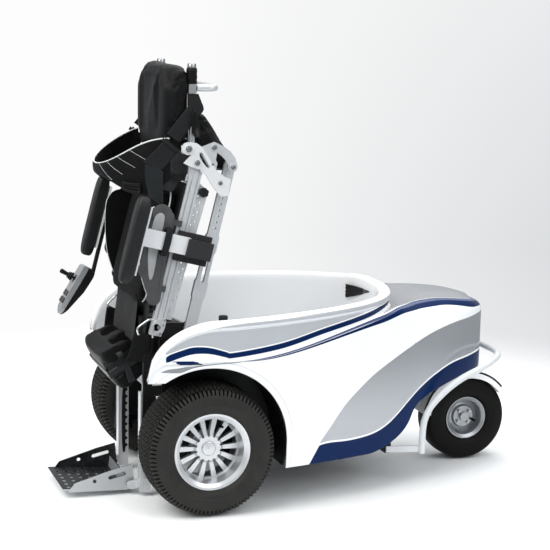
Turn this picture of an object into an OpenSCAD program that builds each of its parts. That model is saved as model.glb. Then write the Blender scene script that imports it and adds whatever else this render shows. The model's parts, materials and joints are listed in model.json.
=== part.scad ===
/* [Front wheels] */
// Outer diameter of a front tyre
front_tyre_d = 406; // [396:1:412]
// Width of a front tyre
front_tyre_w = 184; // [170:1:186]
// Distance between the middles of the front tyres
track = 676; // [670:1:684]
// Diameter of a front rim over its flange
front_rim_d = 238; // [230:1:246]
// Number of spokes in a front rim
spokes = 14; // [10:1:18]

/* [Rear wheel] */
// Outer diameter of the rear tyre
rear_tyre_d = 294; // [284:1:298]
// Width of the rear tyre
rear_tyre_w = 112; // [100:1:120]
// Diameter of the rear rim over its flange
rear_rim_d = 146; // [140:1:150]
// Distance from the front axle back to the rear axle
wheelbase = 1018; // [1010:1:1026]

/* [Body] */
// Half of the body's width over the front wheels
body_half_w = 432; // [428:1:440]
// Wall of the moulded body shells
shell = 7; // [5:1:8]
// Height of the lower edge of the side shells
skirt_z = 130; // [120:1:140]
// Height of the tub's rim beside the front wheels
rim_z = 606; // [600:1:612]
// Reach of the tail behind the front axle
tail_y = 1060; // [1050:1:1066]
// Reach of the tub's rim behind the front axle
tub_y = 690; // [684:1:700]
// Radius of the wheel arch
arch_r = 252; // [248:1:255]

/* [Standing frame] */
// Height of the knee shaft that the seat turns about
knee_z = 556; // [552:1:560]
// Lean of the seat rails when the chair stands
rail_lean = 14; // [12:0.5:15]
// Length of a seat rail from the knee shaft to the hip pin
thigh_l = 520; // [514:1:526]
// Thickness of the seat cushion
cushion_h = 46; // [36:1:50]
// Height of the top of the back tubes
back_top_z = 1354; // [1330:1:1370]

/* [Footrest] */
// Width of the footplate between its side walls
foot_w = 252; // [230:1:254]
// Reach of the footplate in front of the front axle
foot_reach = 402; // [390:1:410]

/* [Hidden] */
$fn = 64;

front_r = front_tyre_d / 2;
rear_r = rear_tyre_d / 2;
wheel_x = track / 2;
front_end = -foot_reach;
rear_end = wheelbase + rear_r + 18;
mid_y = (front_end + rear_end) / 2;

// Pivots in the plane of the rails, measured back from the front axle and up from the ground
knee_y = -130;
hip_y = knee_y + thigh_l * sin(rail_lean - 0.5);
hip_z = knee_z + thigh_l * cos(rail_lean - 0.5);
link_dy = 116;
link_dz = -16;
foot_hinge_y = -186;
foot_hinge_z = 34;
rod_x = 150;
rod_y = -146;

// Layers across the chair, from the middle outwards
tower_x = 172;
link_x = 186;
rail_x = 204;
rail_t = 20;
plate_x = 228;
plate_t = 8;
back_x = 184;
arm_x = 271;

// Moves a child from the front axle's foot to the middle of the footprint
module place() translate([0, -mid_y, 0]) children();

// Draws a child on the left and its mirror image on the right
module both() {
    children();
    mirror([1, 0, 0]) children();
}

// Draws a left child on the chosen side, 1 left and -1 right
module side(s) {
    if (s > 0) children();
    else mirror([1, 0, 0]) children();
}

// Stands a flat outline of (back, up) points on edge, from x over a thickness t
module upright(x, t) translate([x, 0, 0]) rotate([90, 0, 90]) linear_extrude(t) children();

// Round bar along x at a (back, up) point
module round_bar(x, l, y, z, r) translate([x, y, z]) rotate([0, 90, 0]) cylinder(h = l, r = r);

// Path with each inner corner rounded off, starting d from the corner
function rounded(path, d) = concat([path[0]],
    [for (i = [1 : len(path) - 2]) let (
        p = path[i],
        before = path[i - 1] - p,
        after = path[i + 1] - p,
        a = p + before / norm(before) * min(d, norm(before) / 2.2),
        b = p + after / norm(after) * min(d, norm(after) / 2.2))
        each [for (t = [0 : 0.25 : 1]) (1 - t) * (1 - t) * a + 2 * t * (1 - t) * p + t * t * b]],
    [path[len(path) - 1]]);

// Round tube swept along a path, with rings square to it
module pipe(path, r, sides = 12) {
    last = len(path) - 1;
    lean = [0.61, -0.5, 0.61];
    loft([for (i = [0 : last]) let (
        t = path[min(i + 1, last)] - path[max(i - 1, 0)],
        u = cross(t, lean) / norm(cross(t, lean)),
        v = cross(t, u) / norm(t))
        [for (k = [0 : sides - 1]) path[i] + r * (cos(360 * k / sides) * u + sin(360 * k / sides) * v)]]);
}

// Flat bar with round ends between two points of an outline
module bar(p, q, w) {
    d = q - p;
    translate(p) rotate(atan2(d.y, d.x)) translate([0, -w / 2]) square([norm(d), w]);
    translate(p) circle(w / 2 + 0.3);
    translate(q) circle(w / 2 + 0.3);
}

// Draws a child in the seat rail's own frame: z along the rail from the knee shaft, -y to the sitter
module on_rail() translate([0, knee_y, knee_z]) rotate([-rail_lean, 0, 0]) children();

function smooth(t) = let (c = max(0, min(1, t))) c * c * (3 - 2 * c);

// Joins two equal grids of points, outer first, into one closed skin
module skin(outer, inner) {
    rows = len(outer);
    cols = len(outer[0]);
    points = concat([for (row = outer) each row], [for (row = inner) each row]);
    n = rows * cols;
    top = [for (i = [0 : rows - 2], j = [0 : cols - 2]) let (a = i * cols + j)
        each [[a, a + cols, a + cols + 1], [a, a + cols + 1, a + 1]]];
    low = [for (f = top) [f[2] + n, f[1] + n, f[0] + n]];
    edge = concat(
        [for (j = [0 : cols - 2]) [j, j + 1]],
        [for (i = [0 : rows - 2]) [i * cols + cols - 1, (i + 1) * cols + cols - 1]],
        [for (j = [cols - 1 : -1 : 1]) [(rows - 1) * cols + j, (rows - 1) * cols + j - 1]],
        [for (i = [rows - 1 : -1 : 1]) [i * cols, (i - 1) * cols]]);
    sides = [for (e = edge) each [[e[0], e[1], e[1] + n], [e[0], e[1] + n, e[0] + n]]];
    polyhedron(points, concat(top, low, sides), convexity = 8);
}

// Closed ring of profiles: a band of rings with flat ends
module loft(rings) {
    rows = len(rings);
    cols = len(rings[0]);
    points = [for (ring = rings) each ring];
    walls = [for (i = [0 : rows - 2], j = [0 : cols - 1])
        let (a = i * cols + j, b = i * cols + (j + 1) % cols)
        each [[a, a + cols, b + cols], [a, b + cols, b]]];
    first = [for (j = [0 : cols - 1]) j];
    last = [for (j = [cols - 1 : -1 : 0]) (rows - 1) * cols + j];
    polyhedron(points, concat([first], walls, [last]), convexity = 8);
}

// Crowned pad: w across, l along, h thick at the crown, edge thick at its seam,
// sides drawn in by draw, and sewn channels at the given shares of its length
module pad(w, l, h, edge, draw, channels = []) {
    nu = 12;
    nv = 16;
    function dent(v) = channels == [] ? 1 : min([for (c = channels) 1 - 0.45 * exp(-pow((v - c) / 0.07, 2))]);
    function face(s) = [for (i = [0 : nu]) let (u = 2 * i / nu - 1) [for (j = [0 : nv]) let (
        v = 2 * j / nv - 1,
        crown = pow(max(0, (1 - pow(u, 4)) * (1 - pow(v, 6))), 0.45),
        x = w / 2 * u - draw * u * (1 - v * v),
        y = l / 2 * v - draw * v * (1 - u * u))
        [-x, y, s > 0 ? edge + (h - edge) * crown * dent(v) : 0]]];
    skin(face(1), face(0));
}

// Body lines

// Half width of the body, which tapers to a blunt round tail
function half_w(y, w, tail) =
    y < 100 ? w - 17 * pow((100 - y) / 300, 2)
    : w * (1 - 0.7 * pow((y - 100) / (tail - 100), 1.5))
        * pow(max(0, 1 - pow(max(0, (y - 800) / (tail - 800)), 3)), 1 / 3);
// Lower edge, which climbs to the tail in two sweeps
function low_z(y) = skirt_z + 125 * smooth((y - 630) / 120) + 97 * smooth((y - 745) / 255);
// Top of the tub's rim, which falls round the front of the fender
nose_y = -200;
function top_z(y) =
    y < 20 ? rim_z - 170 + 170 * sqrt(max(0, 1 - pow((20 - y) / (20 - nose_y), 2)))
    : rim_z + 16 * (y - 20) / 610 + 12 * pow(max(0, (y - 600) / 90), 2);
nose_low = 424;
// Shoulder line between the side shells and what lies above them
function crease_z(y) =
    min(482 + 118 * smooth((y - 71) / 700) - 24 * pow(max(0, (y - 840) / 200), 2),
        y < 0 ? (top_z(y) + nose_low) / 2 : 999);
// Half width of the tub's rim, which closes in a blunt round end
function rim_half(y) =
    y < 50 ? half_w(y, body_half_w - 2, tail_y)
    : (body_half_w - 2) * pow(max(0, 1 - pow((y - 50) / (tub_y - 50), 1.5)), 1 / 3);

arch_y = -12;
arch_z = 212;
function arch_top(y, r) = arch_z + sqrt(max(0, r * r - pow(y - arch_y, 2)));

// Stations closer together towards the end of a taper
function stations(a, b, n, power) = [for (i = [0 : n]) a + (b - a) * (1 - pow(1 - i / n, power))];

shell_rows = 28;
shell_cols = 6;
function shell_side(w, tail) = [for (y = stations(nose_y, tail, shell_rows, 1.8)) [for (j = [0 : shell_cols]) let (
    v = 1 - j / shell_cols,
    tuck = (16 * pow(1 - v, 2) + 8 * v * v) * half_w(y, w, tail) / w)
    [max(0, half_w(y, w, tail) - tuck), y, low_z(y) + (crease_z(y) - low_z(y)) * v]]];

module side_shell(s) color("white") side(s) difference() {
    skin(shell_side(body_half_w, tail_y), shell_side(body_half_w - shell, tail_y - shell));
    round_bar(200, 300, arch_y, arch_z, arch_r);
    translate([200, nose_y - 10, 0]) cube([300, arch_y - nose_y, nose_low]);
}

// The rim's path, once round from the left nose to the right nose
rim_steps = 20;
rim_left = [for (y = stations(nose_y, tub_y, rim_steps, 2.2)) [rim_half(y), y]];
rim_path = concat(rim_left, [for (i = [rim_steps - 1 : -1 : 0]) [-rim_left[i].x, rim_left[i].y]]);
function inward(i) = let (
    t = rim_path[min(i + 1, 2 * rim_steps)] - rim_path[max(i - 1, 0)])
    [-t.y, t.x] / norm(t);
function rim_inset(d) = [for (i = [0 : 2 * rim_steps]) rim_path[i] + d * inward(i)];
// Section of the rim as inward offset and height: outer wall, rolled bead, inner wall, and back up inside
function rim_section(y) = let (
    top = top_z(y),
    low = min(crease_z(y) + 6 - 22 * smooth((y - 430) / 120), top - 5),
    drop = min(26, (top - low) * 0.8),
    foot = min(top - drop - 1, max(floor_z, arch_top(y, arch_r + 20), y < -120 ? nose_low : 0)))
    [[0, low], [0, top - drop], [-4, top - drop * 0.7], [-3, top - drop * 0.25], [6, top],
     [24, top], [35, top - drop * 0.3], [38, top - drop], [40, foot], [34, foot],
     [32, top - drop + 2], [8, top - drop + 2], [3.2, low]];
floor_z = 330;
module tub_rim() color("white")
    loft([for (i = [2 * rim_steps : -1 : 0]) [for (p = rim_section(rim_path[i].y))
        let (q = rim_path[i] + p[0] * inward(i)) [q.x, q.y, p[1]]]]);

// Deck and shoulders: a lid that is crowned at the tail, dips to the tub and is open round it
deck_rows = 16;
deck_cols = 12;
function deck_face(rise) = [for (y = stations(78, tail_y - 3, deck_rows, 1.7)) [for (j = [0 : deck_cols]) let (
    u = sin(90 * (2 * j / deck_cols - 1)),
    w = half_w(y, body_half_w, tail_y) * (1 - 8 / body_half_w) - 0.5,
    d = w * (1 - abs(u)))
    [w * u, y, crease_z(y) + rise + (31 * smooth((y - 640) / 200) - 16) * (1 - exp(-pow(d / 30, 2)))]]];
module rear_deck() color("silver") difference() {
    skin(deck_face(7), deck_face(2));
    translate([0, 0, 400]) linear_extrude(400) polygon(rim_inset(-5));
    translate([0, nose_y, 400]) linear_extrude(400) square([2 * body_half_w, 400], center = true);
}

module tub_floor() color("whitesmoke") difference() {
    union() {
        translate([0, 0, floor_z - 6]) linear_extrude(5.5) intersection() {
            polygon(rim_inset(33));
            union() {
                translate([-tower_x - 50, -120]) square([2 * tower_x + 100, 800]);
                translate([-body_half_w, 248]) square([2 * body_half_w, 500]);
            }
        }
        // Raised panel that a bag stands on
        translate([0, 0, floor_z - 1]) linear_extrude(3.5) {
            translate([-150, 190]) square([300, 320]);
            translate([-130, 170]) square([260, 360]);
        }
    }
    // Openings over the lift towers
    both() translate([tower_x - 12, knee_y - 40, floor_z - 20]) cube([30, 260, 40]);
}

// Drum over a front wheel: a half round roof with a disc to the inside
module wheel_well(s) color("whitesmoke") side(s) difference() {
    round_bar(226, body_half_w - 44 - 226, arch_y, arch_z, arch_r + 7);
    round_bar(233, body_half_w, arch_y, arch_z, arch_r + 1);
    round_bar(200, 100, 0, front_r, 62);
    translate([0, -400, -100]) cube([500, 400 + arch_y - 100, nose_low + 101]);
    translate([0, -400, -100]) cube([500, 900, skirt_z + 108]);
}

module bumper_bar() color("lightgrey") {
    half = [[256, 760, 100], [258, 762, 236], [256, 868, 332], [236, 1000, 378], [150, 1088, 394]];
    pipe(rounded(concat(half, [for (i = [len(half) - 1 : -1 : 0]) [-half[i].x, half[i].y, half[i].z]]), 60), 11);
    // Flat stays from the chassis
    both() translate([0, 0, 104]) linear_extrude(20) bar([232.6, 646], [252, 752], 5);
}

// Chassis: two box rails, cross members, lift towers, and a spine to the steering head
chassis_x = 120;
head_z = 2 * rear_r + 36;
module chassis_frame() color("dimgrey") {
    both() {
        difference() {
            translate([chassis_x, -118, 134]) cube([40, 808, 30]);
            translate([chassis_x + 3, -119, 137]) cube([34, 810, 24]);
        }
        difference() {
            upright(tower_x, 10) {
                polygon([[-165, 134], [84, 134], [80, 270], [20, 520], [-14, 556], [-100, 561],
                    [-130, 578], [-154, 560]]);
                translate([knee_y, knee_z]) circle(24);
                translate([knee_y + link_dy, knee_z + link_dz]) circle(22);
            }
            round_bar(100, 200, knee_y, knee_z, 11.06);
            round_bar(tower_x - 5, 20, 0, front_r, 58);
            upright(tower_x - 5, 20) {
                polygon([[-135, 180], [-72, 180], [-20, 290], [-24, 330], [-130, 330]]);
                polygon([[-130, 360], [-15, 360], [-24, 500], [-75, 515], [-128, 515]]);
            }
        }
        translate([chassis_x + 39, -118, 134]) cube([tower_x - chassis_x - 38, 200, 10]);
        round_bar(tower_x, link_x + 14 - tower_x, knee_y + link_dy, knee_z + link_dz, 8);
        // Arm that carries the foot guide rods and the end of the bumper bar
        translate([rod_x - 14, rod_y - 14, 470]) cube([tower_x - rod_x + 14, 28, 24]);
        translate([chassis_x + 40, 640, 101]) cube([68.6, 22, 63]);
    }
    for (y = [70, 330, 664]) translate([-chassis_x, y, 134]) cube([2 * chassis_x, 26, 30]);
    difference() {
        union() {
            upright(-25, 50) polygon([[664, 134], [690, 134], [900, head_z + 10], [wheelbase, head_z + 10],
                [wheelbase, head_z + 60], [870, head_z + 60], [664, 164]]);
            translate([0, wheelbase, head_z]) cylinder(h = 70, r = 32);
        }
        translate([0, wheelbase, head_z - 1]) cylinder(h = 80, r = 15.06);
    }
}

module battery_pair() color("black") both() {
    difference() {
        translate([4, 368, 165]) cube([168, 260, 150]);
        translate([20, 366, 303]) cube([136, 264, 20]);
    }
    for (y = [400, 596]) translate([88, y, 303]) cylinder(h = 12, r = 8);
}

module motor_controller() color("darkgrey") {
    translate([-95, 140, 165]) cube([190, 150, 46]);
    for (i = [0 : 8]) translate([-90 + i * 22, 140, 211]) cube([5, 150, 14]);
}

// Gear motor of a front wheel: gearbox, motor can and mounting foot
module drive_motor(s) color("dimgrey") side(s) {
    difference() {
        union() {
            round_bar(150, 66, 0, front_r, 56);
            round_bar(216, 6, 0, front_r, 34);
            round_bar(26, 124, 0, front_r, 44);
            round_bar(18, 8, 0, front_r, 32);
        }
        round_bar(170, 80, 0, front_r, 14.06);
        translate([0, -100, 0]) cube([400, 200, 164]);
    }
}

// Worm gearbox on the knee shaft, with its motor hung behind it
module lift_gearmotor() color("dimgrey") {
    difference() {
        union() {
            translate([100, knee_y - 34, knee_z - 44]) cube([56, 68, 64]);
            translate([100, knee_y + 30, knee_z - 56]) cube([56, 72, 46]);
        }
        round_bar(90, 100, knee_y, knee_z, 11.06);
    }
    translate([128, knee_y + 66, 372]) cylinder(h = knee_z - 50 - 372, r = 28);
    translate([128, knee_y + 66, 362]) cylinder(h = 12, r = 22);
}

rod_top = 470;
module guide_rods() color("gainsboro") both()
    translate([rod_x, rod_y, 226]) cylinder(h = rod_top - 226, r = 9);

// Knee block, tilted to meet the knees, hollowed for each leg and open to the back
knee_half = 132;
knee_deep = 126;
knee_tall = 140;
module on_knee_block() translate([0, -290, 455]) rotate([31, 0, 0]) children();
module knee_pad_bracket() color("dimgrey") both() {
    translate([knee_half + 0.5, rod_y - 40, 471]) cube([rod_x + 14 - knee_half, 25.5, 16]);
    upright(knee_half + 0.5, 6) {
        bar([-224, 430], [rod_y - 27, 474], 24);
        translate([rod_y - 40, 471]) square([25.5, 16]);
    }
}
module knee_pad() {
    nu = 28;
    nv = 8;
    // Depth of the hollow for a leg at a share u of the half width
    function hollow(u) = 66 * pow(max(0, 1 - pow((abs(u) - 0.5) / 0.34, 4)), 0.5);
    function round_off(u, v) = pow(max(0, (1 - pow(v, 4)) * (1 - pow(u, 10))), 0.35);
    function face(front) = [for (i = [0 : nu]) let (u = 2 * i / nu - 1) [for (j = [0 : nv]) let (
        v = 2 * j / nv - 1)
        [-knee_half * u,
            front ? 24 - 24 * round_off(u, v) : 50 + (knee_deep - 50 - hollow(u)) * round_off(u, v),
            knee_tall / 2 * (v - 1)]]];
    color("black") on_knee_block() skin(face(true), face(false));
}

// Front wheels, drawn round the axle and then set in place
module tyre_profile(r, bead, w, crown) polygon(concat(
    [[bead, -w * 0.33], [bead + 6, -w * 0.37], [bead + (r - bead) * 0.45, -w / 2],
     [r - 26, -w * 0.49], [r - 10, -w * 0.44], [r - 3, -w * 0.38]],
    [for (a = [-30 : 10 : 30]) [r - crown * (1 - cos(3 * a)) * 0.5, w * 0.38 * a / 34]],
    [[r - 3, w * 0.38], [r - 10, w * 0.44], [r - 26, w * 0.49], [bead + (r - bead) * 0.45, w / 2],
     [bead + 6, w * 0.37], [bead, w * 0.33]]));
module front_place(s) side(s) translate([wheel_x, 0, front_r]) rotate([0, 90, 0]) children();
module front_tyre(s) color("black") front_place(s) difference() {
    rotate_extrude($fn = 96) tyre_profile(front_r, front_rim_d / 2 - 9, front_tyre_w, 6);
    for (z = [-44, 0, 44]) translate([0, 0, z - 3]) difference() {
        cylinder(h = 6, r = front_r + 5);
        translate([0, 0, -1]) cylinder(h = 8, r = front_r - 7);
    }
}
module front_rim(s) color("silver") front_place(s) {
    flange = front_rim_d / 2;
    bead = flange - 9.3;
    well = bead - 5;
    difference() {
        rotate_extrude($fn = 96) polygon([[24, 30], [40, 30], [46, 25], [well - 12, 22], [well - 8, 28],
            [well - 6, 46], [well - 3, 66], [flange - 7, 73], [flange, 75], [flange, 71.5], [bead, 69], [bead, -69],
            [flange, -71.5], [flange, -75], [flange - 7, -74], [well, -66], [well, 2], [well - 6, 10], [86, 8],
            [50, 8], [44, -18], [24, -18]]);
        for (i = [0 : spokes - 1]) rotate(i * 360 / spokes)
            translate([0, 0, -5]) linear_extrude(60) {
                polygon([[40, -3.5], [92, -12.5], [92, 12.5], [40, 3.5]]);
                translate([40.5, 0]) circle(4);
            }
    }
    // Flanged axle that runs in the gearbox
    translate([0, 0, -30]) cylinder(h = 13, r = 46);
    translate([0, 0, -112]) cylinder(h = 90, r = 22);
    translate([0, 0, -136]) cylinder(h = 30, r = 14);
}
module hub_cap(s) color("gainsboro") front_place(s) rotate_extrude() polygon(concat(
    [[0, 19], [23.7, 19], [23.7, 30]], [for (a = [0 : 15 : 90]) [18 + 4 * cos(a), 30 + 4 * sin(a)]], [[0, 35.5]]));

// Rear wheel and its steered fork
module rear_place() translate([0, wheelbase, rear_r]) rotate([0, 90, 0]) children();
module rear_tyre() color("black") rear_place()
    rotate_extrude($fn = 96) tyre_profile(rear_r, rear_rim_d / 2 - 6, rear_tyre_w, 10);
module rear_rim() color("silver") rear_place() {
    flange = rear_rim_d / 2;
    bead = flange - 6.3;
    well = bead - 4;
    difference() {
        rotate_extrude() polygon([[14.06, 24], [36, 24], [40, 14], [well - 10, 10], [well - 3, 24],
            [well - 2, 40], [flange - 3, 46], [flange, 46], [flange, 43.5], [bead, 41], [bead, -41], [flange, -43.5],
            [flange, -46], [flange - 3, -46], [well, -40], [well, -2], [well - 8, 2], [38, 2], [30, -12], [30, -34],
            [14.06, -34]]);
        rotate(-8) translate([52, 0, -20]) cylinder(h = 60, r = 5);
    }
}
module rear_lug_bolts() color("gainsboro") rear_place() {
    for (i = [0 : 3]) rotate(i * 90 + 40) translate([26, 0, 24.2]) cylinder(h = 9, r = 6, $fn = 6);
    translate([0, 0, 24.2]) cylinder(h = 12, r = 15);
}
fork_x = -rear_tyre_w / 2 - 14;
module rear_fork() color("dimgrey") {
    translate([0, wheelbase, head_z - 6]) cylinder(h = 74, r = 15);
    translate([0, wheelbase, head_z - 16]) cylinder(h = 15, r = 30);
    translate([fork_x - 14, wheelbase - 26, head_z - 14]) cube([14 - fork_x + 20, 52, 12]);
    upright(fork_x - 14, 14) difference() {
        bar([wheelbase, head_z - 20], [wheelbase, rear_r], 52);
        translate([wheelbase, (head_z + rear_r) / 2 - 4]) circle(14);
    }
    round_bar(fork_x, -fork_x + 22, wheelbase, rear_r, 14);
}
module rear_mudguard() color("white") {
    translate([0, wheelbase, 2 * rear_r + 14]) cylinder(h = head_z - 2 * rear_r - 30.2, r = 20);
    difference() {
        rear_place() rotate_extrude($fn = 96) polygon([[rear_r + 11, -58], [rear_r + 15, -58], [rear_r + 17, -30],
            [rear_r + 17, 30], [rear_r + 15, 58], [rear_r - 4, 66], [rear_r - 4, 62], [rear_r + 11, 54],
            [rear_r + 13, 28], [rear_r + 13, -28], [rear_r + 11, -54]]);
        upright(-100, 200) polygon([[wheelbase, rear_r], [wheelbase + 400, rear_r + 190], [wheelbase + 400, -200],
            [wheelbase - 400, -200], [wheelbase - 400, rear_r + 60]]);
    }
}

// Seat: grooved rails with a perforated plate behind them, a board and a cushion
rail_front = -14;
rail_back = 23;
board_t = 6;
module seat_rail(s) color("silver") side(s) difference() {
    union() {
        on_rail() {
            difference() {
                translate([rail_x, rail_front, -26]) cube([rail_t, rail_back - rail_front, 520]);
                for (y = [-7, 11]) translate([rail_x + rail_t - 4, y, -30]) cube([5, 5, 530]);
                translate([rail_x + 7, rail_front - 1, -30]) cube([6, 5, 530]);
            }
            difference() {
                upright(rail_x + 6, 6) polygon([[rail_back, 30], [44, 30], [58, 430], [50, 446], [rail_back, 462]]);
                for (z = [60 : 30 : 420]) {
                    round_bar(rail_x, 20, 31, z, 3);
                    if (z < 200 || z > 320) round_bar(rail_x, 20, 41, z + 12, 3);
                }
            }
        }
        upright(rail_x + 2, rail_t - 4) {
            translate([hip_y, hip_z]) circle(20);
            bar([hip_y, hip_z], [hip_y - 16 * sin(rail_lean), hip_z - 40], 36);
        }
        // Lug and pin of the hip belt
        upright(rail_x + 2, 6) bar(belt_pin, [-28, belt_pin.y], 20);
        round_bar(rail_x - 4.6, 8, belt_pin.x, belt_pin.y, 5);
    }
    round_bar(190, 60, hip_y, hip_z, 8.06);
    round_bar(190, 60, knee_y, knee_z, 11);
}

module knee_shaft() color("gainsboro") round_bar(-rail_x - rail_t - 3, 2 * (rail_x + rail_t + 3), knee_y, knee_z, 11);

module seat_board() color("dimgrey") on_rail() {
    difference() {
        translate([-rail_x - 12, rail_front - board_t, 48]) cube([2 * rail_x + 24, board_t - 0.2, 402]);
        for (x = [-150, 0, 150], z = [110, 250, 390])
            translate([x, 0, z]) rotate([90, 0, 0]) cylinder(h = 60, r = 14);
    }
    for (z = [58, 380]) translate([-rail_x + 0.3, rail_front - 0.2, z]) cube([2 * rail_x - 0.6, 6, 50]);
}

module seat_cushion() color("black") on_rail() translate([0, rail_front - board_t - 0.4, 250]) rotate([90, 0, 0])
    pad(396, 396, cushion_h, 20, 5, [-0.33, 0.33]);

// Wide belt that holds the sitter's hips: a padded band that swings on a pin at each rail, deep at the hips and
// narrow in front
belt_pin = [-70, 1014];
belt_end_y = -84;
module hip_belt() {
    n = 30;
    function ring(t) = let (
        a = 180 * t,
        reach = sin(a),
        c = cos(a),
        x = 202 * c,
        y = belt_end_y - 186 * reach,
        tangent = [-202 * sin(a), -186 * c],
        out = [-tangent.y, tangent.x] / norm(tangent) * -1,
        high = 1132 - 90 * pow(reach, 1.2),
        low = 1008 - 48 * sin(180 * min(1, reach * 1.02)),
        t_mid = 1.5 + 4.5 * reach)
        [for (p = [[0.8, high - 3], [0, high], [-0.8, high - 3], [-t_mid, (high * 2 + low) / 3],
            [-t_mid, (high + low * 2) / 3], [-0.8, low + 3], [0, low], [0.8, low + 3], [t_mid, (high + low * 2) / 3],
            [t_mid, (high * 2 + low) / 3]])
            [x + out.x * p[0], y + out.y * p[0] + (high - p[1]) * 0.1 * reach, p[1]]];
    color("black") {
        loft([for (i = [n : -1 : 0]) ring(i / n)]);
        both() difference() {
            upright(rail_x - 3.6, 3.3) bar([belt_end_y - 16, 1030], belt_pin, 28);
            round_bar(rail_x - 6, 12, belt_pin.x, belt_pin.y, 5.06);
        }
    }
}

module side_guard(s) color("dimgrey") side(s) on_rail() {
    difference() {
        upright(232, 6) side_guard_outline();
        upright(236.5, 3) translate([-61, 215]) scale(0.72) translate([61, -215]) side_guard_outline();
    }
    for (z = [112, 318]) translate([rail_x + rail_t + 0.2, -36, z]) cube([232 - rail_x - rail_t - 0.2, 34, 18]);
}
module side_guard_outline() {
    polygon([[-70, 374], [-36, 352], [-13, 92], [-36, 66], [-101, 165], [-101, 300]]);
    translate([-71, 344]) circle(30);
    translate([-71, 300]) circle(30);
    translate([-71, 168]) circle(30);
    translate([-34, 88]) circle(22);
}

// Armrests fold up about a pin in a clamp on each rail
arm_pin_y = 66;
arm_pin_z = 262;
pad_base = -125.5;
module arm_clamps() color("black") both() on_rail() {
    difference() {
        translate([rail_x + rail_t + 0.2, -4, 216]) cube([20, 104, 92]);
        translate([rail_x + rail_t - 1, 4, 228]) cube([12, 78, 12]);
        translate([rail_x + rail_t - 1, 4, 284]) cube([12, 78, 12]);
    }
    translate([rail_x + 12.2, 26, 226]) cube([10, 34, 72]);
    // Cheek outside the arm's tongue, and the bridge to it
    translate([244, 88.5, 237]) cube([32.4, 11.5, 55]);
    translate([268.4, 20, 237]) cube([8, 80, 55]);
    round_bar(rail_x + rail_t + 1, 46, arm_pin_y, arm_pin_z, 6);
}
module arm_bracket(s) color("whitesmoke") side(s) on_rail() difference() {
    union() {
        translate([247, pad_base, 240]) cube([20, 27 - pad_base, 54]);
        upright(250, 12) bar([10, 266], [arm_pin_y, arm_pin_z], 36);
        translate([244, pad_base - 0.2, 150]) cube([50, 5, 210]);
    }
    translate([250, pad_base + 8, 246]) cube([14, 120, 42]);
    round_bar(240, 60, arm_pin_y, arm_pin_z, 6.06);
}
module arm_pad(s) color("dimgrey") side(s) on_rail()
    translate([arm_x, pad_base - 0.4, 253]) rotate([90, 0, 0]) pad(60, 270, 42, 16, 3);

// Joystick box on the right armrest, drawn in its own frame: -y faces the hand, -z runs down the box
stick_z = -45;
key_places = [[-14, -100], [14, -100], [-14, -126], [14, -126]];
module on_joystick() translate([-arm_x - 4, -237, 655]) rotate([-31, 0, 0]) children();
module joystick_outline() polygon(concat(
    [[-33, 0], [-27, 8], [27, 8], [33, 0], [34, -40], [30, -100]],
    [for (a = [0 : 10 : 180]) [27 * cos(a), -146 - 27 * sin(a)]],
    [[-30, -100], [-34, -40]]));
// Box of the joystick's outline between two depths, cut to a side profile of (depth, along) points
module joystick_box(top, low) intersection() {
    translate([0, low, 0]) rotate([90, 0, 0]) linear_extrude(low - top) joystick_outline();
    upright(-40, 80) children();
}
module joystick_base() color("black") {
    on_joystick() difference() {
        joystick_box(-6, 24) polygon([[-7, 9], [18, 9], [22, -12], [20, -70], [4, -150], [-4, -174], [-7, -174]]);
        translate([0, 10, stick_z]) rotate([90, 0, 0]) cylinder(h = 40, r = 18);
    }
    on_rail() translate([-260, -112, 60]) cylinder(h = 180, r = 7);
}
module joystick_cover() color("silver") on_joystick() difference() {
    joystick_box(-26, -6.3)
        polygon([[-6, 9], [-18, 9], [-24.3, 2], [-24.3, -90], [-20, -150], [-12, -174], [-6, -174]]);
    translate([0, 10, stick_z]) rotate([90, 0, 0]) cylinder(h = 24, r = 18);
    translate([0, 10, stick_z]) rotate([90, 0, 0]) cylinder(h = 60, r = 13.6);
    for (p = key_places) translate([p[0] - 9.3, -40, p[1] - 9.3]) cube([18.6, 24, 18.6]);
}
// Folded boot, which tilts with the stick
module joystick_boot() color("black") on_joystick() translate([0, -6, stick_z]) rotate([90, 0, 0])
    rotate_extrude() polygon([[4.2, 28], [15, 28], [15, 30.5], [11, 33], [13.5, 36], [9.5, 39], [12, 42], [8, 45],
        [4.2, 45]]);
module joystick_gimbal() color("gainsboro") on_joystick() translate([0, -6, stick_z]) {
    rotate([90, 0, 0]) rotate_extrude() polygon([[10, -3], [15, -3], [15, 3], [10, 3]]);
    both() round_bar(13, 4.6, 0, 0, 2.2);
}
module joystick_stick() color("black") on_joystick() translate([0, -6, stick_z]) {
    sphere(8.5);
    translate([0, 0, -9.6]) cylinder(h = 19.2, r = 2.2);
    rotate([90, 0, 0]) cylinder(h = 60, r = 4);
    rotate([90, 0, 0]) rotate_extrude()
        polygon([[0, 45.5], [5.5, 45.5], [6.5, 48], [8, 68], [7, 72], [4, 73.5], [0, 74]]);
}
module key(i) color("dimgrey") on_joystick() translate([key_places[i][0] - 9, -27, key_places[i][1] - 9])
    cube([18, 7, 18]);

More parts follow.
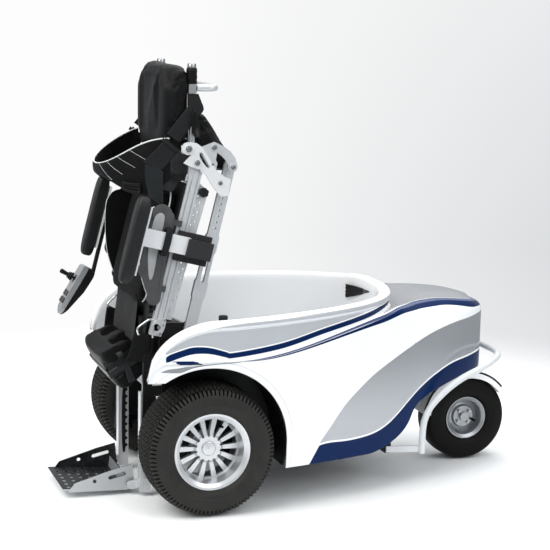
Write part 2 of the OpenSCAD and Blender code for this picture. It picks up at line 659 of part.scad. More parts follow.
// Rear links that keep the backrest upright, and the plates that carry it
link_low = [knee_y + link_dy, knee_z + link_dz];
link_top = [hip_y + link_dy, hip_z + link_dz];
module rear_links() color("silver") both() difference() {
    union() {
        upright(link_x, 12) bar(link_low, link_top, 36);
        for (t = [0.21, 0.49]) upright(link_x - 2, 16) {
            p = link_low + t * (link_top - link_low);
            bar(p, p + 0.07 * (link_top - link_low), 42);
        }
    }
    for (p = [link_low, link_top]) round_bar(link_x - 20, 60, p[0], p[1], 8.06);
    for (i = [0 : 8]) let (p = link_low + (0.62 + 0.037 * i) * (link_top - link_low))
        round_bar(link_x - 20, 60, p[0], p[1], 3.5);
    upright(link_x - 20, 60) bar(link_low + 0.3 * (link_top - link_low), link_low + 0.45 * (link_top - link_low), 12);
}
big_bolt = [-36, 1104];
module back_brackets() color("whitesmoke") both() {
    upright(plate_x, plate_t) difference() {
        union() {
            polygon([[-50, 1118], [-30, 1124], [-9, 1120], [8, 1107], [34, 1068], [53, 1037], [81, 1016], [99, 1009],
                [92, 958], [66, 958], [39, 992], [20, 1023], [0, 1041], [-30, 1050], [-50, 1060], [-27, 1084],
                [-50, 1096]]);
            translate(big_bolt) circle(19);
        }
        polygon([[-2, 1094], [8, 1090], [33, 1047], [26, 1041], [0, 1074]]);
        translate([41, 1056]) circle(2.5);
        translate([66, 998]) circle(6);
    }
    // Hip pin, and the block that clamps the back tube
    round_bar(rail_x - 2, plate_x + plate_t + 6 - rail_x, hip_y, hip_z, 8);
    translate([back_x + 12.5, -48, 1088]) cube([plate_x - back_x - 11.5, 52, 23]);
    round_bar(plate_x + plate_t - 1, 7, big_bolt.x, big_bolt.y, 11);
}
// Curved arms from the plates to the pins of the rear links
module back_arms() color("silver") both() {
    upright(plate_x - 8.2, 8) {
        polygon([[8, 1108], [49, 1123], [60, 1118], [83, 1106], [100, 1093], [115, 1073], [122, 1052], [104, 1032],
            [94, 1050], [84, 1067], [72, 1080], [57, 1090], [53, 1068], [58, 1058], [53, 1032], [34, 1042],
            [8, 1084]]);
        translate(link_top) circle(15);
    }
    round_bar(link_x - 3, plate_x - 7.2 - link_x + 3, link_top.x, link_top.y, 8);
    round_bar(plate_x - 1.2, 7, link_top.x, link_top.y, 10);
    round_bar(plate_x - 1.2, 6, 47, 1107, 9);
}
back_y = -14;
module back_tubes() color("gainsboro") {
    both() difference() {
        translate([back_x, back_y, 1088]) cylinder(h = back_top_z - 1088, r = 12.5);
        translate([back_x, back_y, 1080]) cylinder(h = 400, r = 10.5);
    }
    round_bar(-back_x + 12, 2 * back_x - 24, back_y, 1118, 10);
    both() difference() {
        translate([back_x, back_y, 1268]) cylinder(h = 27, r = 16);
        translate([back_x, back_y, 1260]) cylinder(h = 60, r = 12.4);
    }
}
push_z = 1284;
module push_bar() color("silver") {
    half = [[back_x, back_y + 16.3, push_z], [back_x, 64, push_z]];
    pipe(rounded(concat(half, [for (p = [half[1], half[0]]) [-p.x, p.y, p.z]]), 24), 11);
}
module back_cushion() color("black") translate([0, back_y - 13, 1240]) rotate([90, 0, 0])
    pad(348, 230, 70, 26, 8, [0.1]);
module pelvis_pad() color("black") upright(-172, 344) polygon([[6, 1214], [22, 1214], [72, 1140], [116, 1072],
    [128, 1044], [108, 1024], [62, 1036], [22, 1076], [4, 1138]]);

module rail_knobs() color("black") both() on_rail() {
    round_bar(rail_x + 12.2, 5, 41, 436, 8);
    difference() {
        round_bar(rail_x + 17, 14, 41, 436, 15);
        for (a = [0 : 60 : 300]) round_bar(rail_x + 16, 20, 41 + 18 * cos(a), 436 + 18 * sin(a), 5);
    }
}

// Footrest: two columns on the guide rods, and a plate that folds up between them
module foot_columns() color("silver") both() {
    difference() {
        translate([rod_x - 15, rod_y - 17, 14]) cube([30, 34, 322]);
        translate([rod_x, rod_y, 112]) cylinder(h = 300, r = 9.06);
        translate([rod_x + 10, rod_y - 4, 60]) cube([10, 8, 230]);
        for (z = [80 : 24 : 272]) translate([rod_x + 10, rod_y - 9, z]) cube([10, 18, 7]);
    }
    upright(rod_x - 14, 9) bar([rod_y - 10, 40], [foot_hinge_y, foot_hinge_z], 26);
    round_bar(foot_w / 2 - 10, rod_x - 14 - foot_w / 2 + 18, foot_hinge_y, foot_hinge_z, 5);
}
module footplate() color("silver") {
    half = foot_w / 2;
    difference() {
        upright(-half, 2 * half) polygon([[front_end, 27], [front_end, 32], [-196, 20], [-196, 14]]);
        for (i = [0 : 6], j = [0 : 5]) translate([-105 + 35 * i, -380 + 30 * j, 0]) cylinder(h = 60, r = 6);
    }
    both() difference() {
        upright(half - 4, 4) {
            polygon([[-386, 20], [-364, 48], [-240, 84], [-178, 98], [-172, 34], [-196, 14]]);
            translate([foot_hinge_y, foot_hinge_z]) circle(16);
        }
        upright(half - 10, 20) bar([-250, 58], [-205, 68], 12);
        round_bar(half - 10, 20, -300, 50, 6);
        round_bar(half - 10, 20, foot_hinge_y, foot_hinge_z, 5.06);
    }
    upright(-half + 4, 2 * half - 8) polygon([[-200, 19], [-196, 19], [-192, 56], [-196, 56]]);
}

place() chassis_frame();
place() side_shell(1);  // side_shell_left
place() side_shell(-1);  // side_shell_right
place() tub_rim();
place() rear_deck();
place() tub_floor();
place() wheel_well(1);  // wheel_well_left
place() wheel_well(-1);  // wheel_well_right
place() bumper_bar();
place() battery_pair();
place() motor_controller();
place() drive_motor(1);  // drive_motor_left
place() drive_motor(-1);  // drive_motor_right
place() lift_gearmotor();
place() guide_rods();
place() knee_pad_bracket();
place() knee_pad();
place() front_tyre(1);  // front_tyre_left
place() front_rim(1);  // front_rim_left
place() hub_cap(1);  // hub_cap_left
place() front_tyre(-1);  // front_tyre_right
place() front_rim(-1);  // front_rim_right
place() hub_cap(-1);  // hub_cap_right
place() rear_fork();
place() rear_mudguard();
place() rear_tyre();
place() rear_rim();
place() rear_lug_bolts();
place() seat_rail(1);  // seat_rail_left
place() seat_rail(-1);  // seat_rail_right
place() knee_shaft();
place() seat_board();
place() seat_cushion();
place() hip_belt();
place() side_guard(1);  // side_guard_left
place() side_guard(-1);  // side_guard_right
place() arm_clamps();
place() rail_knobs();
place() arm_bracket(1);  // arm_bracket_left
place() arm_pad(1);  // arm_pad_left
place() arm_bracket(-1);  // arm_bracket_right
place() arm_pad(-1);  // arm_pad_right
place() joystick_base();
place() joystick_cover();
place() joystick_boot();
place() joystick_gimbal();
place() joystick_stick();
place() key(0);  // power_key
place() key(1);  // speed_up_key
place() key(2);  // speed_down_key
place() key(3);  // horn_key
place() rear_links();
place() back_brackets();
place() back_arms();
place() back_tubes();
place() push_bar();
place() back_cushion();
place() pelvis_pad();
place() foot_columns();
place() footplate();
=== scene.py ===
"""Looks of the standing wheelchair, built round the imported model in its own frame."""
import json
import math

import bpy
import numpy as np
from mathutils import Matrix, Vector

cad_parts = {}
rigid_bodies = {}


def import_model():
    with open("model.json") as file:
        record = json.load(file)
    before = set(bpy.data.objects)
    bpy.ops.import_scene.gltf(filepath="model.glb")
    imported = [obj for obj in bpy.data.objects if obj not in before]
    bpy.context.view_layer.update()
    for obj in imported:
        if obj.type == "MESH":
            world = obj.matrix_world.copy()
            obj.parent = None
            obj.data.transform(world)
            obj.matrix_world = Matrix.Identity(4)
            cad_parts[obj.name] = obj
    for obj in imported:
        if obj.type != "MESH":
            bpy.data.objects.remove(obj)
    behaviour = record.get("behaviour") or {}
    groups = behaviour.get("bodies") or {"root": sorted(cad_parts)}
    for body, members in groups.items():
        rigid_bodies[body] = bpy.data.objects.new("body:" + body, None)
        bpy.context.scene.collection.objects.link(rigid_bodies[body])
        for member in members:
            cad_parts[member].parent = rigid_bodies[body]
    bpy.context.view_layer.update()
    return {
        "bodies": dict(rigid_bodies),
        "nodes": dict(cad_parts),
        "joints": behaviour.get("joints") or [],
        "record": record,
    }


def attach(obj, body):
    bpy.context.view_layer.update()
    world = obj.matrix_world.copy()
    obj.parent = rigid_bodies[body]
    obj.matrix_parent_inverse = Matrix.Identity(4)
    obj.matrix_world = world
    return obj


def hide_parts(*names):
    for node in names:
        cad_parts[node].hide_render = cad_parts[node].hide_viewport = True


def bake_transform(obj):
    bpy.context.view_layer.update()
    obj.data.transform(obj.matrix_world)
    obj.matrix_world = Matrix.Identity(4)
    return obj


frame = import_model()
NODES = frame["nodes"]
SIDES = {"left": 1, "right": -1}
AXLE_Y = 390.5  # millimetres that the front axle stands ahead of the row's origin


# Camera and lights

def photo_camera():
    """The camera fitted to the wheels and the ground: its place in metres, yaw, pitch and roll in
    radians, and focal length in image widths."""
    place, sensor = (4.8103, -1.7097, 1.5469), 36
    yaw, pitch, roll, focal = 0.330, 0.172, 0.020, 1574.158 / 550
    d = np.array([-math.cos(yaw) * math.cos(pitch), math.sin(yaw) * math.cos(pitch), -math.sin(pitch)])
    right = np.cross(d, [0, 0, 1])
    right /= np.linalg.norm(right)
    up = np.cross(right, d)
    c, s = math.cos(roll), math.sin(roll)
    right, up = c * right + s * up, -s * right + c * up
    cam = bpy.data.objects.new("camera", bpy.data.cameras.new("camera"))
    m = np.eye(4)
    m[:3, 0], m[:3, 1], m[:3, 2] = right, up, -d
    m[:3, 3] = place
    cam.matrix_world = Matrix(m.tolist())
    cam.data.sensor_width = sensor
    cam.data.lens = sensor * focal
    cam.data.clip_end = 200
    bpy.context.scene.collection.objects.link(cam)
    bpy.context.scene.camera = cam


def area_light(name, at, to, size, watts, colour=(1, 1, 1)):
    """A square soft box at one point, turned to another."""
    light = bpy.data.lights.new(name, "AREA")
    light.shape, light.size, light.energy, light.color = "SQUARE", size, watts, colour
    o = bpy.data.objects.new(name, light)
    o.location = at
    o.rotation_euler = (Vector(to) - Vector(at)).to_track_quat("-Z", "Y").to_euler()
    bpy.context.scene.collection.objects.link(o)


# Material tools

def srgb(code):
    """Linear RGBA of an sRGB hex code."""
    c = np.array([int(code[i:i + 2], 16) for i in (1, 3, 5)]) / 255
    return (*np.where(c <= 0.04045, c / 12.92, ((c + 0.055) / 1.055) ** 2.4).tolist(), 1.0)


def feed(tree, node, ins):
    """Sets a node's inputs. ins maps an input's name or number to a value, or to another node's output."""
    for k, v in ins.items():
        if isinstance(v, bpy.types.NodeSocket):
            tree.links.new(v, node.inputs[k])
        else:
            node.inputs[k].default_value = v


def add(tree, kind, ins=None, **props):
    """Adds one shader node, with its properties and its inputs."""
    n = tree.nodes.new(kind)
    for k, v in props.items():
        setattr(n, k, v)
    feed(tree, n, ins or {})
    return n


def material(name, build):
    """A new material whose principled shader is wired up by build(tree, shader)."""
    m = bpy.data.materials.new(name)
    m.use_nodes = True
    build(m.node_tree, m.node_tree.nodes["Principled BSDF"])
    return m


def coords(t, kind="Object"):
    """Texture coordinates: the object's own metres, or another kind."""
    return add(t, "ShaderNodeTexCoord").outputs[kind]


def noise(t, scale, detail=3, rough=0.5, vector=None):
    """Soft random blotches, about scale of them in a metre."""
    return add(t, "ShaderNodeTexNoise", {"Scale": scale, "Detail": detail, "Roughness": rough,
                                         "Vector": vector or coords(t)}).outputs["Fac"]


def ramp(t, fac, a, b, colours):
    """Maps fac from a to b on to two colours or two grey values."""
    vals = [c if isinstance(c, tuple) else (c, c, c, 1) for c in colours]
    r = add(t, "ShaderNodeValToRGB", {"Fac": fac})
    for e, p, v in zip(r.color_ramp.elements, (a, b), vals):
        e.position, e.color = p, v
    return r.outputs["Color"]


def mix(t, fac, a, b):
    """Colour a where fac is 0, b where it is 1."""
    return add(t, "ShaderNodeMix", {0: fac, 6: a, 7: b}, data_type="RGBA").outputs[2]


def math_node(t, op, a, b=0.0):
    """One operation on two values."""
    return add(t, "ShaderNodeMath", {0: a, 1: b}, operation=op).outputs[0]


def map_range(t, value, low, high, to=(0.0, 1.0), **props):
    """Maps a value from low to high on to another range, and holds it there beyond."""
    ins = {"Value": value, "From Min": low, "From Max": high, "To Min": to[0], "To Max": to[1]}
    return add(t, "ShaderNodeMapRange", ins, **props).outputs["Result"]


def attribute(t, name):
    """A vertex attribute's value."""
    return add(t, "ShaderNodeAttribute", attribute_name=name).outputs["Fac"]


def split(t, vector):
    """The X, Y and Z of a vector."""
    return add(t, "ShaderNodeSeparateXYZ", {"Vector": vector}).outputs


def mapped(t, vector, **how):
    """A vector stretched or turned: Scale or Rotation."""
    return add(t, "ShaderNodeMapping", {"Vector": vector, **how}).outputs["Vector"]


def waves(t, vector, scale, way, distortion=0.0):
    """Parallel ridges from 0 to 1 across one axis."""
    ins = {"Vector": vector, "Scale": scale, "Distortion": distortion}
    return add(t, "ShaderNodeTexWave", ins, bands_direction=way).outputs["Fac"]


def bump(t, height, strength, distance):
    """Normal of a surface raised by height times distance metres."""
    ins = {"Height": height, "Strength": strength, "Distance": distance}
    return add(t, "ShaderNodeBump", ins).outputs["Normal"]


def mask(t, name, soft=0.4):
    """1 where a signed distance in millimetres, kept in a vertex attribute, is above 0."""
    return map_range(t, attribute(t, name), -soft, soft)


def wire(t, sh, **ins):
    """Sets inputs of a shader, the spaces in their names written as underscores."""
    feed(t, sh, {k.replace("_", " "): v for k, v in ins.items()})


# Mesh tools

def mesh_object(name, verts, faces, mat, body, uv=None, attrs=None, smooth=True):
    """An object of numpy vertices in metres, riding on a body. uv has a pair per face corner."""
    me = bpy.data.meshes.new(name)
    me.from_pydata(np.asarray(verts, float).tolist(), [], [list(map(int, f)) for f in faces])
    if uv is not None:
        me.uv_layers.new(name="UVMap").data.foreach_set("uv", np.asarray(uv, np.float32).ravel())
    for k, v in (attrs or {}).items():
        me.attributes.new(k, "FLOAT", "POINT").data.foreach_set("value", np.asarray(v, np.float32).ravel())
    me.polygons.foreach_set("use_smooth", [smooth] * len(me.polygons))
    me.materials.append(mat)
    o = bpy.data.objects.new(name, me)
    bpy.context.scene.collection.objects.link(o)
    if body:
        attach(o, body)
    return o


def grid_faces(n, m, wrap_u=False, wrap_v=False):
    """Quads of an n by m grid of points, numbered row by row, closed along either way."""
    i, j = np.meshgrid(np.arange(n if wrap_u else n - 1), np.arange(m if wrap_v else m - 1), indexing="ij")
    i, j = i.ravel(), j.ravel()
    k, l = (i + 1) % n, (j + 1) % m
    return np.stack([i * m + j, k * m + j, k * m + l, i * m + l], 1), np.stack([i, j, i + 1, j + 1], 1)


def patches(name, parts, mat, body, smooth=True):
    """One object of several surfaces. A part has points p[row, column]; wrap_u or wrap_v closes it along
    rows or columns, flip turns it over, caps closes the ends of a tube and attrs holds vertex attributes.
    The UV map is in metres."""
    verts, faces, uvs, attrs, base = [], [], [], {}, 0
    for part in parts:
        p = np.asarray(part["p"], float)
        n, m = p.shape[:2]
        wrap_u, wrap_v, flip, caps = (part.get(k, False) for k in ("wrap_u", "wrap_v", "flip", "caps"))
        quads, span = grid_faces(n, m, wrap_u, wrap_v)
        pu = np.concatenate([p, p[:1]]) if wrap_u else p
        pv = np.concatenate([p, p[:, :1]], 1) if wrap_v else p
        su = np.concatenate([[0], np.cumsum(np.linalg.norm(np.diff(pu, axis=0), axis=2).mean(1))])
        sv = np.concatenate([[0], np.cumsum(np.linalg.norm(np.diff(pv, axis=1), axis=2).mean(0))])
        a, b, c, d = span.T
        uv = np.stack([su[a], sv[b], su[c], sv[b], su[c], sv[d], su[a], sv[d]], 1).reshape(-1, 4, 2)
        ends = [list(range(m))[::-1], list(range((n - 1) * m, n * m))] if caps else []
        if flip:
            quads, uv, ends = quads[:, ::-1], uv[:, ::-1], [e[::-1] for e in ends]
        faces += (quads + base).tolist() + [[base + i for i in e] for e in ends]
        uvs += [uv.reshape(-1, 2), np.zeros((sum(map(len, ends)), 2))]
        verts.append(p.reshape(-1, 3))
        for k, v in part.get("attrs", {}).items():
            attrs.setdefault(k, []).append(np.ravel(v))
        base += n * m
    return mesh_object(name, np.concatenate(verts), faces, mat, body, np.concatenate(uvs),
                       {k: np.concatenate(v) for k, v in attrs.items()}, smooth)


def grid(name, p, mat, body, **part):
    """An object of one surface; see patches."""
    return patches(name, [dict(part, p=p)], mat, body)


def pair(make):
    """What make(s) gives for the left, s = 1, and for the right, s = -1."""
    return [make(s) for s in SIDES.values()]


def row(x, y, z):
    """Millimetres from the front axle's foot to the row's metres."""
    x, y, z = np.broadcast_arrays(x, y, z)
    return np.stack([x, y - AXLE_Y, z], -1) / 1000


def smooth_path(points, n):
    """n points evenly along a Catmull-Rom curve through the given ones."""
    p = np.asarray(points, float)
    q = np.concatenate([[2 * p[0] - p[1]], p, [2 * p[-1] - p[-2]]])
    t = np.linspace(0, 1, 24, endpoint=False)[:, None]
    out = [0.5 * (2 * b + (c - a) * t + (2 * a - 5 * b + 4 * c - d) * t ** 2
                  + (3 * b - a - 3 * c + d) * t ** 3)
           for a, b, c, d in zip(q[:-3], q[1:-2], q[2:-1], q[3:])]
    curve = np.concatenate(out + [p[-1:]])
    s = np.concatenate([[0], np.cumsum(np.linalg.norm(np.diff(curve, axis=0), axis=1))])
    return np.stack([np.interp(np.linspace(0, s[-1], n), s, curve[:, k]) for k in range(3)], 1)


def sweep(path, profile, side=None):
    """Points of a closed profile carried along a path. profile[k] = (across, over) in metres; across lies
    along side where it is given, and otherwise turns as little as it can."""
    path = np.asarray(path, float)
    t = np.gradient(path, axis=0)
    t /= np.linalg.norm(t, axis=1, keepdims=True)
    if side is None:
        a = np.cross(t[0], [0.3, 0.5, 0.81])
        rows = []
        for v in t:
            a = a - (a @ v) * v
            a = a / np.linalg.norm(a)
            rows.append(a)
        across = np.array(rows)
    else:
        across = np.broadcast_to(np.asarray(side, float), path.shape)
        across = across - (across * t).sum(1, keepdims=True) * t
        across = across / np.linalg.norm(across, axis=1, keepdims=True)
    over = np.cross(t, across)
    q = np.asarray(profile, float)
    return path[:, None] + q[None, :, :1] * across[:, None] + q[None, :, 1:] * over[:, None]


def ring(r, n=20):
    """Section of a round tube: n points on a circle."""
    a = np.linspace(0, 2 * np.pi, n, endpoint=False)
    return np.stack([r * np.cos(a), r * np.sin(a)], 1)


def flat(width, thick, n=9):
    """Section of a flat strap with rounded edges, wide along its first axis."""
    x = np.linspace(-1, 1, n)
    h = np.sqrt(np.clip(1 - np.abs(x) ** 8, 0.02, 1)) * thick / 2
    upper = np.stack([x, h / width * 2], 1)
    return np.concatenate([upper, upper[::-1] * (1, -1)]) * width / 2


def tube(name, points, radius, mat, body, n=80, sides=20):
    """A round tube along points in millimetres from the front axle."""
    path = smooth_path(row(*np.array(points, float).T), n)
    return grid(name, sweep(path, ring(radius / 1000, sides)), mat, body, wrap_v=True, caps=True)


# Studio

photo_camera()
scene = bpy.context.scene
scene.view_settings.view_transform = "Standard"


def studio():
    """White surroundings: the camera sees a pale wall that greys to one side with painted shade, and light
    comes from a dome that is bright above."""
    world = bpy.data.worlds.new("studio")
    scene.world = world
    world.use_nodes = True
    t = world.node_tree
    t.nodes.clear()
    way = split(t, coords(t, "Generated"))
    # the wall's grey towards one side and its middle height is painted shade
    side = map_range(t, way["Y"], 0.24, 0.52)
    level = math_node(t, "ABSOLUTE", math_node(t, "ADD", way["Z"], 0.15))
    grey = math_node(t, "MULTIPLY", side, math_node(t, "SUBTRACT", 1.0, math_node(t, "MULTIPLY", level, 2.6)))
    pale = ramp(t, grey, 0.0, 1.0, (srgb("#fdfdfd"), srgb("#d6d8da")))
    wall = add(t, "ShaderNodeBackground", {"Color": pale})
    sky = ramp(t, map_range(t, way["Z"], -0.25, 0.9), 0.0, 1.0, (srgb("#9aa1a6"), srgb("#ffffff")))
    dome = add(t, "ShaderNodeBackground", {"Color": sky, "Strength": 0.85})
    seen = add(t, "ShaderNodeLightPath").outputs["Is Camera Ray"]
    mixed = add(t, "ShaderNodeMixShader", {0: seen, 1: dome.outputs[0], 2: wall.outputs[0]})
    add(t, "ShaderNodeOutputWorld", {"Surface": mixed.outputs[0]})


studio()
area_light("key_light", (1.5, -4.2, 4.6), (0, -0.2, 0.6), 4.5, 300, (1.0, 0.985, 0.96))
area_light("side_light", (5.0, 2.4, 4.4), (0, 0.2, 0.5), 4.5, 170, (0.96, 0.98, 1.0))
area_light("top_light", (-1.5, 1.0, 5.6), (0, 0, 0.4), 4.5, 190)


def floor_material(t, sh):
    """Paper sweep of a studio: white and faintly mottled, thinning out to the wall's own white some way
    off."""
    paper = ramp(t, noise(t, 1.3, 2), 0.3, 0.7, (srgb("#eceeef"), srgb("#f2f4f5")))
    wire(t, sh, Base_Color=paper, Roughness=0.9, Specular_IOR_Level=0.0)
    far = add(t, "ShaderNodeVectorMath", {0: coords(t)}, operation="LENGTH").outputs["Value"]
    thin = map_range(t, far, 1.0, 2.6, interpolation_type="SMOOTHSTEP")
    clear = add(t, "ShaderNodeBsdfTransparent").outputs[0]
    mixed = add(t, "ShaderNodeMixShader", {0: thin, 1: sh.outputs[0], 2: clear}).outputs[0]
    t.links.new(mixed, t.nodes["Material Output"].inputs["Surface"])


floor = mesh_object("floor", [(-40, -40, 0), (40, -40, 0), (40, 40, 0), (-40, 40, 0)], [(0, 1, 2, 3)],
                    material("studio_paper", floor_material), None)


# Materials

def lacquer(t, sh, base):
    """Sprayed lacquer over a moulding: a thin clear coat with faint orange peel about 4 mm long."""
    wire(t, sh, Base_Color=base, Normal=bump(t, noise(t, 260, 2), 0.035, 0.001),
         Roughness=ramp(t, noise(t, 9, 4), 0.3, 0.75, (0.16, 0.22)),
         Coat_Weight=0.08, Coat_Roughness=0.05, Specular_IOR_Level=0.15)


def livery(t, sh):
    """White gel coat with silver, slate and navy panels, whose edges are vertex attributes in
    millimetres, and a grey line 20 mm outside the wheel arch, painted shade that stands for a scribed
    groove. The silver is paler where the attribute pale is 1."""
    white = ramp(t, noise(t, 3, 3), 0.3, 0.8, (srgb("#eff1f3"), srgb("#f6f7f8")))
    grain = noise(t, 2400, 1)
    silver = mix(t, attribute(t, "pale"), ramp(t, grain, 0.35, 0.7, (srgb("#a2a5a9"), srgb("#b3b6ba"))),
                 ramp(t, grain, 0.35, 0.7, (srgb("#ccd0d4"), srgb("#dde0e3"))))
    navy = ramp(t, grain, 0.4, 0.7, (srgb("#071f49"), srgb("#0a2653")))
    slate = ramp(t, grain, 0.4, 0.7, (srgb("#4b567c"), srgb("#5a6589")))
    m_s, m_n, m_b = (mask(t, k) for k in ("silver", "navy", "slate"))
    # grey line 20 mm outside the arch: painted shade standing for the shadow in a scribed groove
    scribe = math_node(t, "ABSOLUTE", math_node(t, "SUBTRACT", attribute(t, "arch"), 20.0))
    cut = map_range(t, scribe, 0.5, 1.4, (1.0, 0.0))
    base = mix(t, m_n, mix(t, m_b, mix(t, m_s, white, silver), slate), navy)
    lacquer(t, sh, mix(t, math_node(t, "MULTIPLY", cut, 0.5), base, srgb("#8c9094")))
    shine = math_node(t, "SUBTRACT", 0.15, math_node(t, "MULTIPLY", m_n, 0.1))
    wire(t, sh, Metallic=math_node(t, "MULTIPLY", m_s, 0.5), Specular_IOR_Level=shine)


def plain_white(t, sh):
    """White gel coat without panels."""
    lacquer(t, sh, ramp(t, noise(t, 4, 3), 0.3, 0.8, (srgb("#eceef0"), srgb("#f5f6f7"))))


def metal(t, sh, dark, light, rough, stretch=(1, 1, 1), scale=900, metallic=1.0):
    """Bare or clear-lacquered metal with faint smudges. Its fine grain, about a millimetre across, is
    drawn out to lines along an axis whose stretch is small."""
    lines = noise(t, scale, 3, 0.6, mapped(t, coords(t), Scale=stretch))
    smudge = noise(t, 14, 4)
    both = math_node(t, "ADD", math_node(t, "MULTIPLY", lines, 0.12), math_node(t, "MULTIPLY", smudge, 0.14))
    wire(t, sh, Base_Color=ramp(t, lines, 0.3, 0.7, (srgb(dark), srgb(light))), Metallic=metallic,
         Roughness=math_node(t, "ADD", both, rough - 0.12), Normal=bump(t, lines, 0.12, 0.0002))


def powder(t, sh, base, light, rough=0.42, shine=0.5):
    """Powder coat: a pebbled film about half a millimetre across."""
    n = noise(t, 1600, 2)
    wire(t, sh, Base_Color=ramp(t, n, 0.35, 0.7, (srgb(base), srgb(light))), Specular_IOR_Level=shine,
         Roughness=ramp(t, noise(t, 20, 3), 0.3, 0.7, (rough - 0.06, rough + 0.06)),
         Normal=bump(t, n, 0.18, 0.0003))


def grained(t, sh, base, light, rough=0.5, scale=700, shine=0.22):
    """Moulded plastic or vinyl with a leather grain: cells about a millimetre across."""
    cell = add(t, "ShaderNodeTexVoronoi", {"Scale": scale, "Vector": coords(t)}).outputs["Distance"]
    wear = noise(t, 25, 4)
    wire(t, sh, Base_Color=ramp(t, wear, 0.3, 0.75, (srgb(base), srgb(light))), Specular_IOR_Level=shine,
         Roughness=ramp(t, wear, 0.3, 0.7, (rough + 0.06, rough - 0.06)), Normal=bump(t, cell, 0.35, 0.0004))


def woven(t, sh, base, light, pitch=0.0016, sheen=0.25, rough=0.8, shine=0.1):
    """Plain weave of flat yarns along both ways of the UV map, with slubs and lint. The yarns lie 0.63 of
    the pitch apart, which is in metres: from 0.6 mm for satin to 1.4 mm for webbing."""
    uv = mapped(t, coords(t, "UV"), Scale=(1 / pitch / 20,) * 3)
    warp, weft = (waves(t, uv, 10.0, way, 0.3) for way in "XY")
    cloth = math_node(t, "MULTIPLY", warp, weft)
    lint = noise(t, 60, 5, 0.7)
    tone = math_node(t, "ADD", math_node(t, "MULTIPLY", cloth, 0.6), math_node(t, "MULTIPLY", lint, 0.5))
    wire(t, sh, Base_Color=ramp(t, tone, 0.2, 0.9, (srgb(base), srgb(light))), Specular_IOR_Level=shine,
         Roughness=rough, Sheen_Weight=sheen, Sheen_Roughness=0.5, Normal=bump(t, cloth, 0.4, 0.0005))


def knurled(t, sh):
    """Moulded grip with a diamond pattern, ridges 3 mm apart, crossing at right angles; the valleys between
    the ridges are darker, painted shade.
    """
    v = mapped(t, coords(t), Rotation=(math.radians(45), 0, 0))
    h = math_node(t, "MAXIMUM", *(waves(t, v, 105.0, way) for way in "YZ"))
    # colour from ridge height: painted shade in the valleys, lighter ridge tops
    wire(t, sh, Base_Color=ramp(t, h, 0.2, 0.9, (srgb("#101011"), srgb("#2a2a2c"))), Roughness=0.5,
         Specular_IOR_Level=0.3, Normal=bump(t, h, 0.8, 0.001))


def coated(t, sh, where, dark, light):
    """Lays a worn dark coat over the colour that a shader has, where the mask is 1."""
    bare = sh.inputs["Base Color"].links[0].from_socket
    worn = ramp(t, noise(t, 30, 5, 0.7), 0.35, 0.8, (srgb(dark), srgb(light)))
    wire(t, sh, Base_Color=mix(t, where, bare, worn))


def inward(t):
    """Two values: how far a face looks towards the middle from either side, times 9 for each metre from
    it, and how far it looks up."""
    face = split(t, coords(t, "Normal"))
    aside = math_node(t, "MULTIPLY", split(t, coords(t))["X"], -9.0)
    return math_node(t, "MULTIPLY", face["X"], aside), face["Z"]


def tread_plate(t, sh):
    """Aluminium sheet, bare outside; the top, which the foot stands on, has a worn black coat, and the
    faces that look inwards are darkened the same way.
    """
    metal(t, sh, "#a9acaf", "#c3c6c8", 0.4, metallic=0.6)
    # darker on faces that look up or inwards
    foot_side = math_node(t, "GREATER_THAN", math_node(t, "MAXIMUM", *inward(t)), 0.4)
    coated(t, sh, foot_side, "#1b1c1d", "#45474a")


def guard_plastic(t, sh):
    """Charcoal moulding whose inner side is lined in black."""
    grained(t, sh, "#464748", "#565758")
    coated(t, sh, math_node(t, "GREATER_THAN", inward(t)[0], 0.4), "#040404", "#0a0a0a")


def anodised(t, sh):
    """Anodised extrusion drawn along its length."""
    metal(t, sh, "#c3c6c9", "#dcdee0", 0.38, (1, 1, 0.03), metallic=0.55)


def rail_metal(t, sh):
    """Anodised extrusion whose lug, which stands forward of its upper end, is blackened."""
    anodised(t, sh)
    square = {0: coords(t), 1: (0, 0.9703, -0.2419)}
    ahead = add(t, "ShaderNodeVectorMath", square, operation="DOT_PRODUCT").outputs["Value"]
    high = math_node(t, "GREATER_THAN", split(t, coords(t))["Z"], 0.93)
    lug = math_node(t, "MULTIPLY", math_node(t, "LESS_THAN", ahead, -0.6605), high)
    coated(t, sh, lug, "#0c0d0e", "#18191b")


def rubber(t, sh, base, dust, rough, shine):
    """Tyre rubber, dull, with dust worked into it and a fine moulded pebble; the grooves, a vertex
    attribute from 0 to 1, are dull and near black with painted shade."""
    fine = noise(t, 900, 3)
    dirt = noise(t, 18, 5, 0.65)
    deep = attribute(t, "groove")
    worn = ramp(t, dirt, 0.4, 0.85, (srgb(base), srgb(dust)))
    gloss = math_node(t, "MULTIPLY", math_node(t, "SUBTRACT", 1.0, deep), shine)
    # near black in the grooves: painted shade
    wire(t, sh, Base_Color=mix(t, deep, worn, srgb("#020202")), Specular_IOR_Level=gloss,
         Roughness=ramp(t, dirt, 0.3, 0.8, (rough - 0.12, rough + 0.1)), Normal=bump(t, fine, 0.15, 0.0004))


def made(name, build, *how, **more):
    """A material whose shader is wired up by one of the functions above, with values of its own."""
    return material(name, lambda t, sh: build(t, sh, *how, **more))


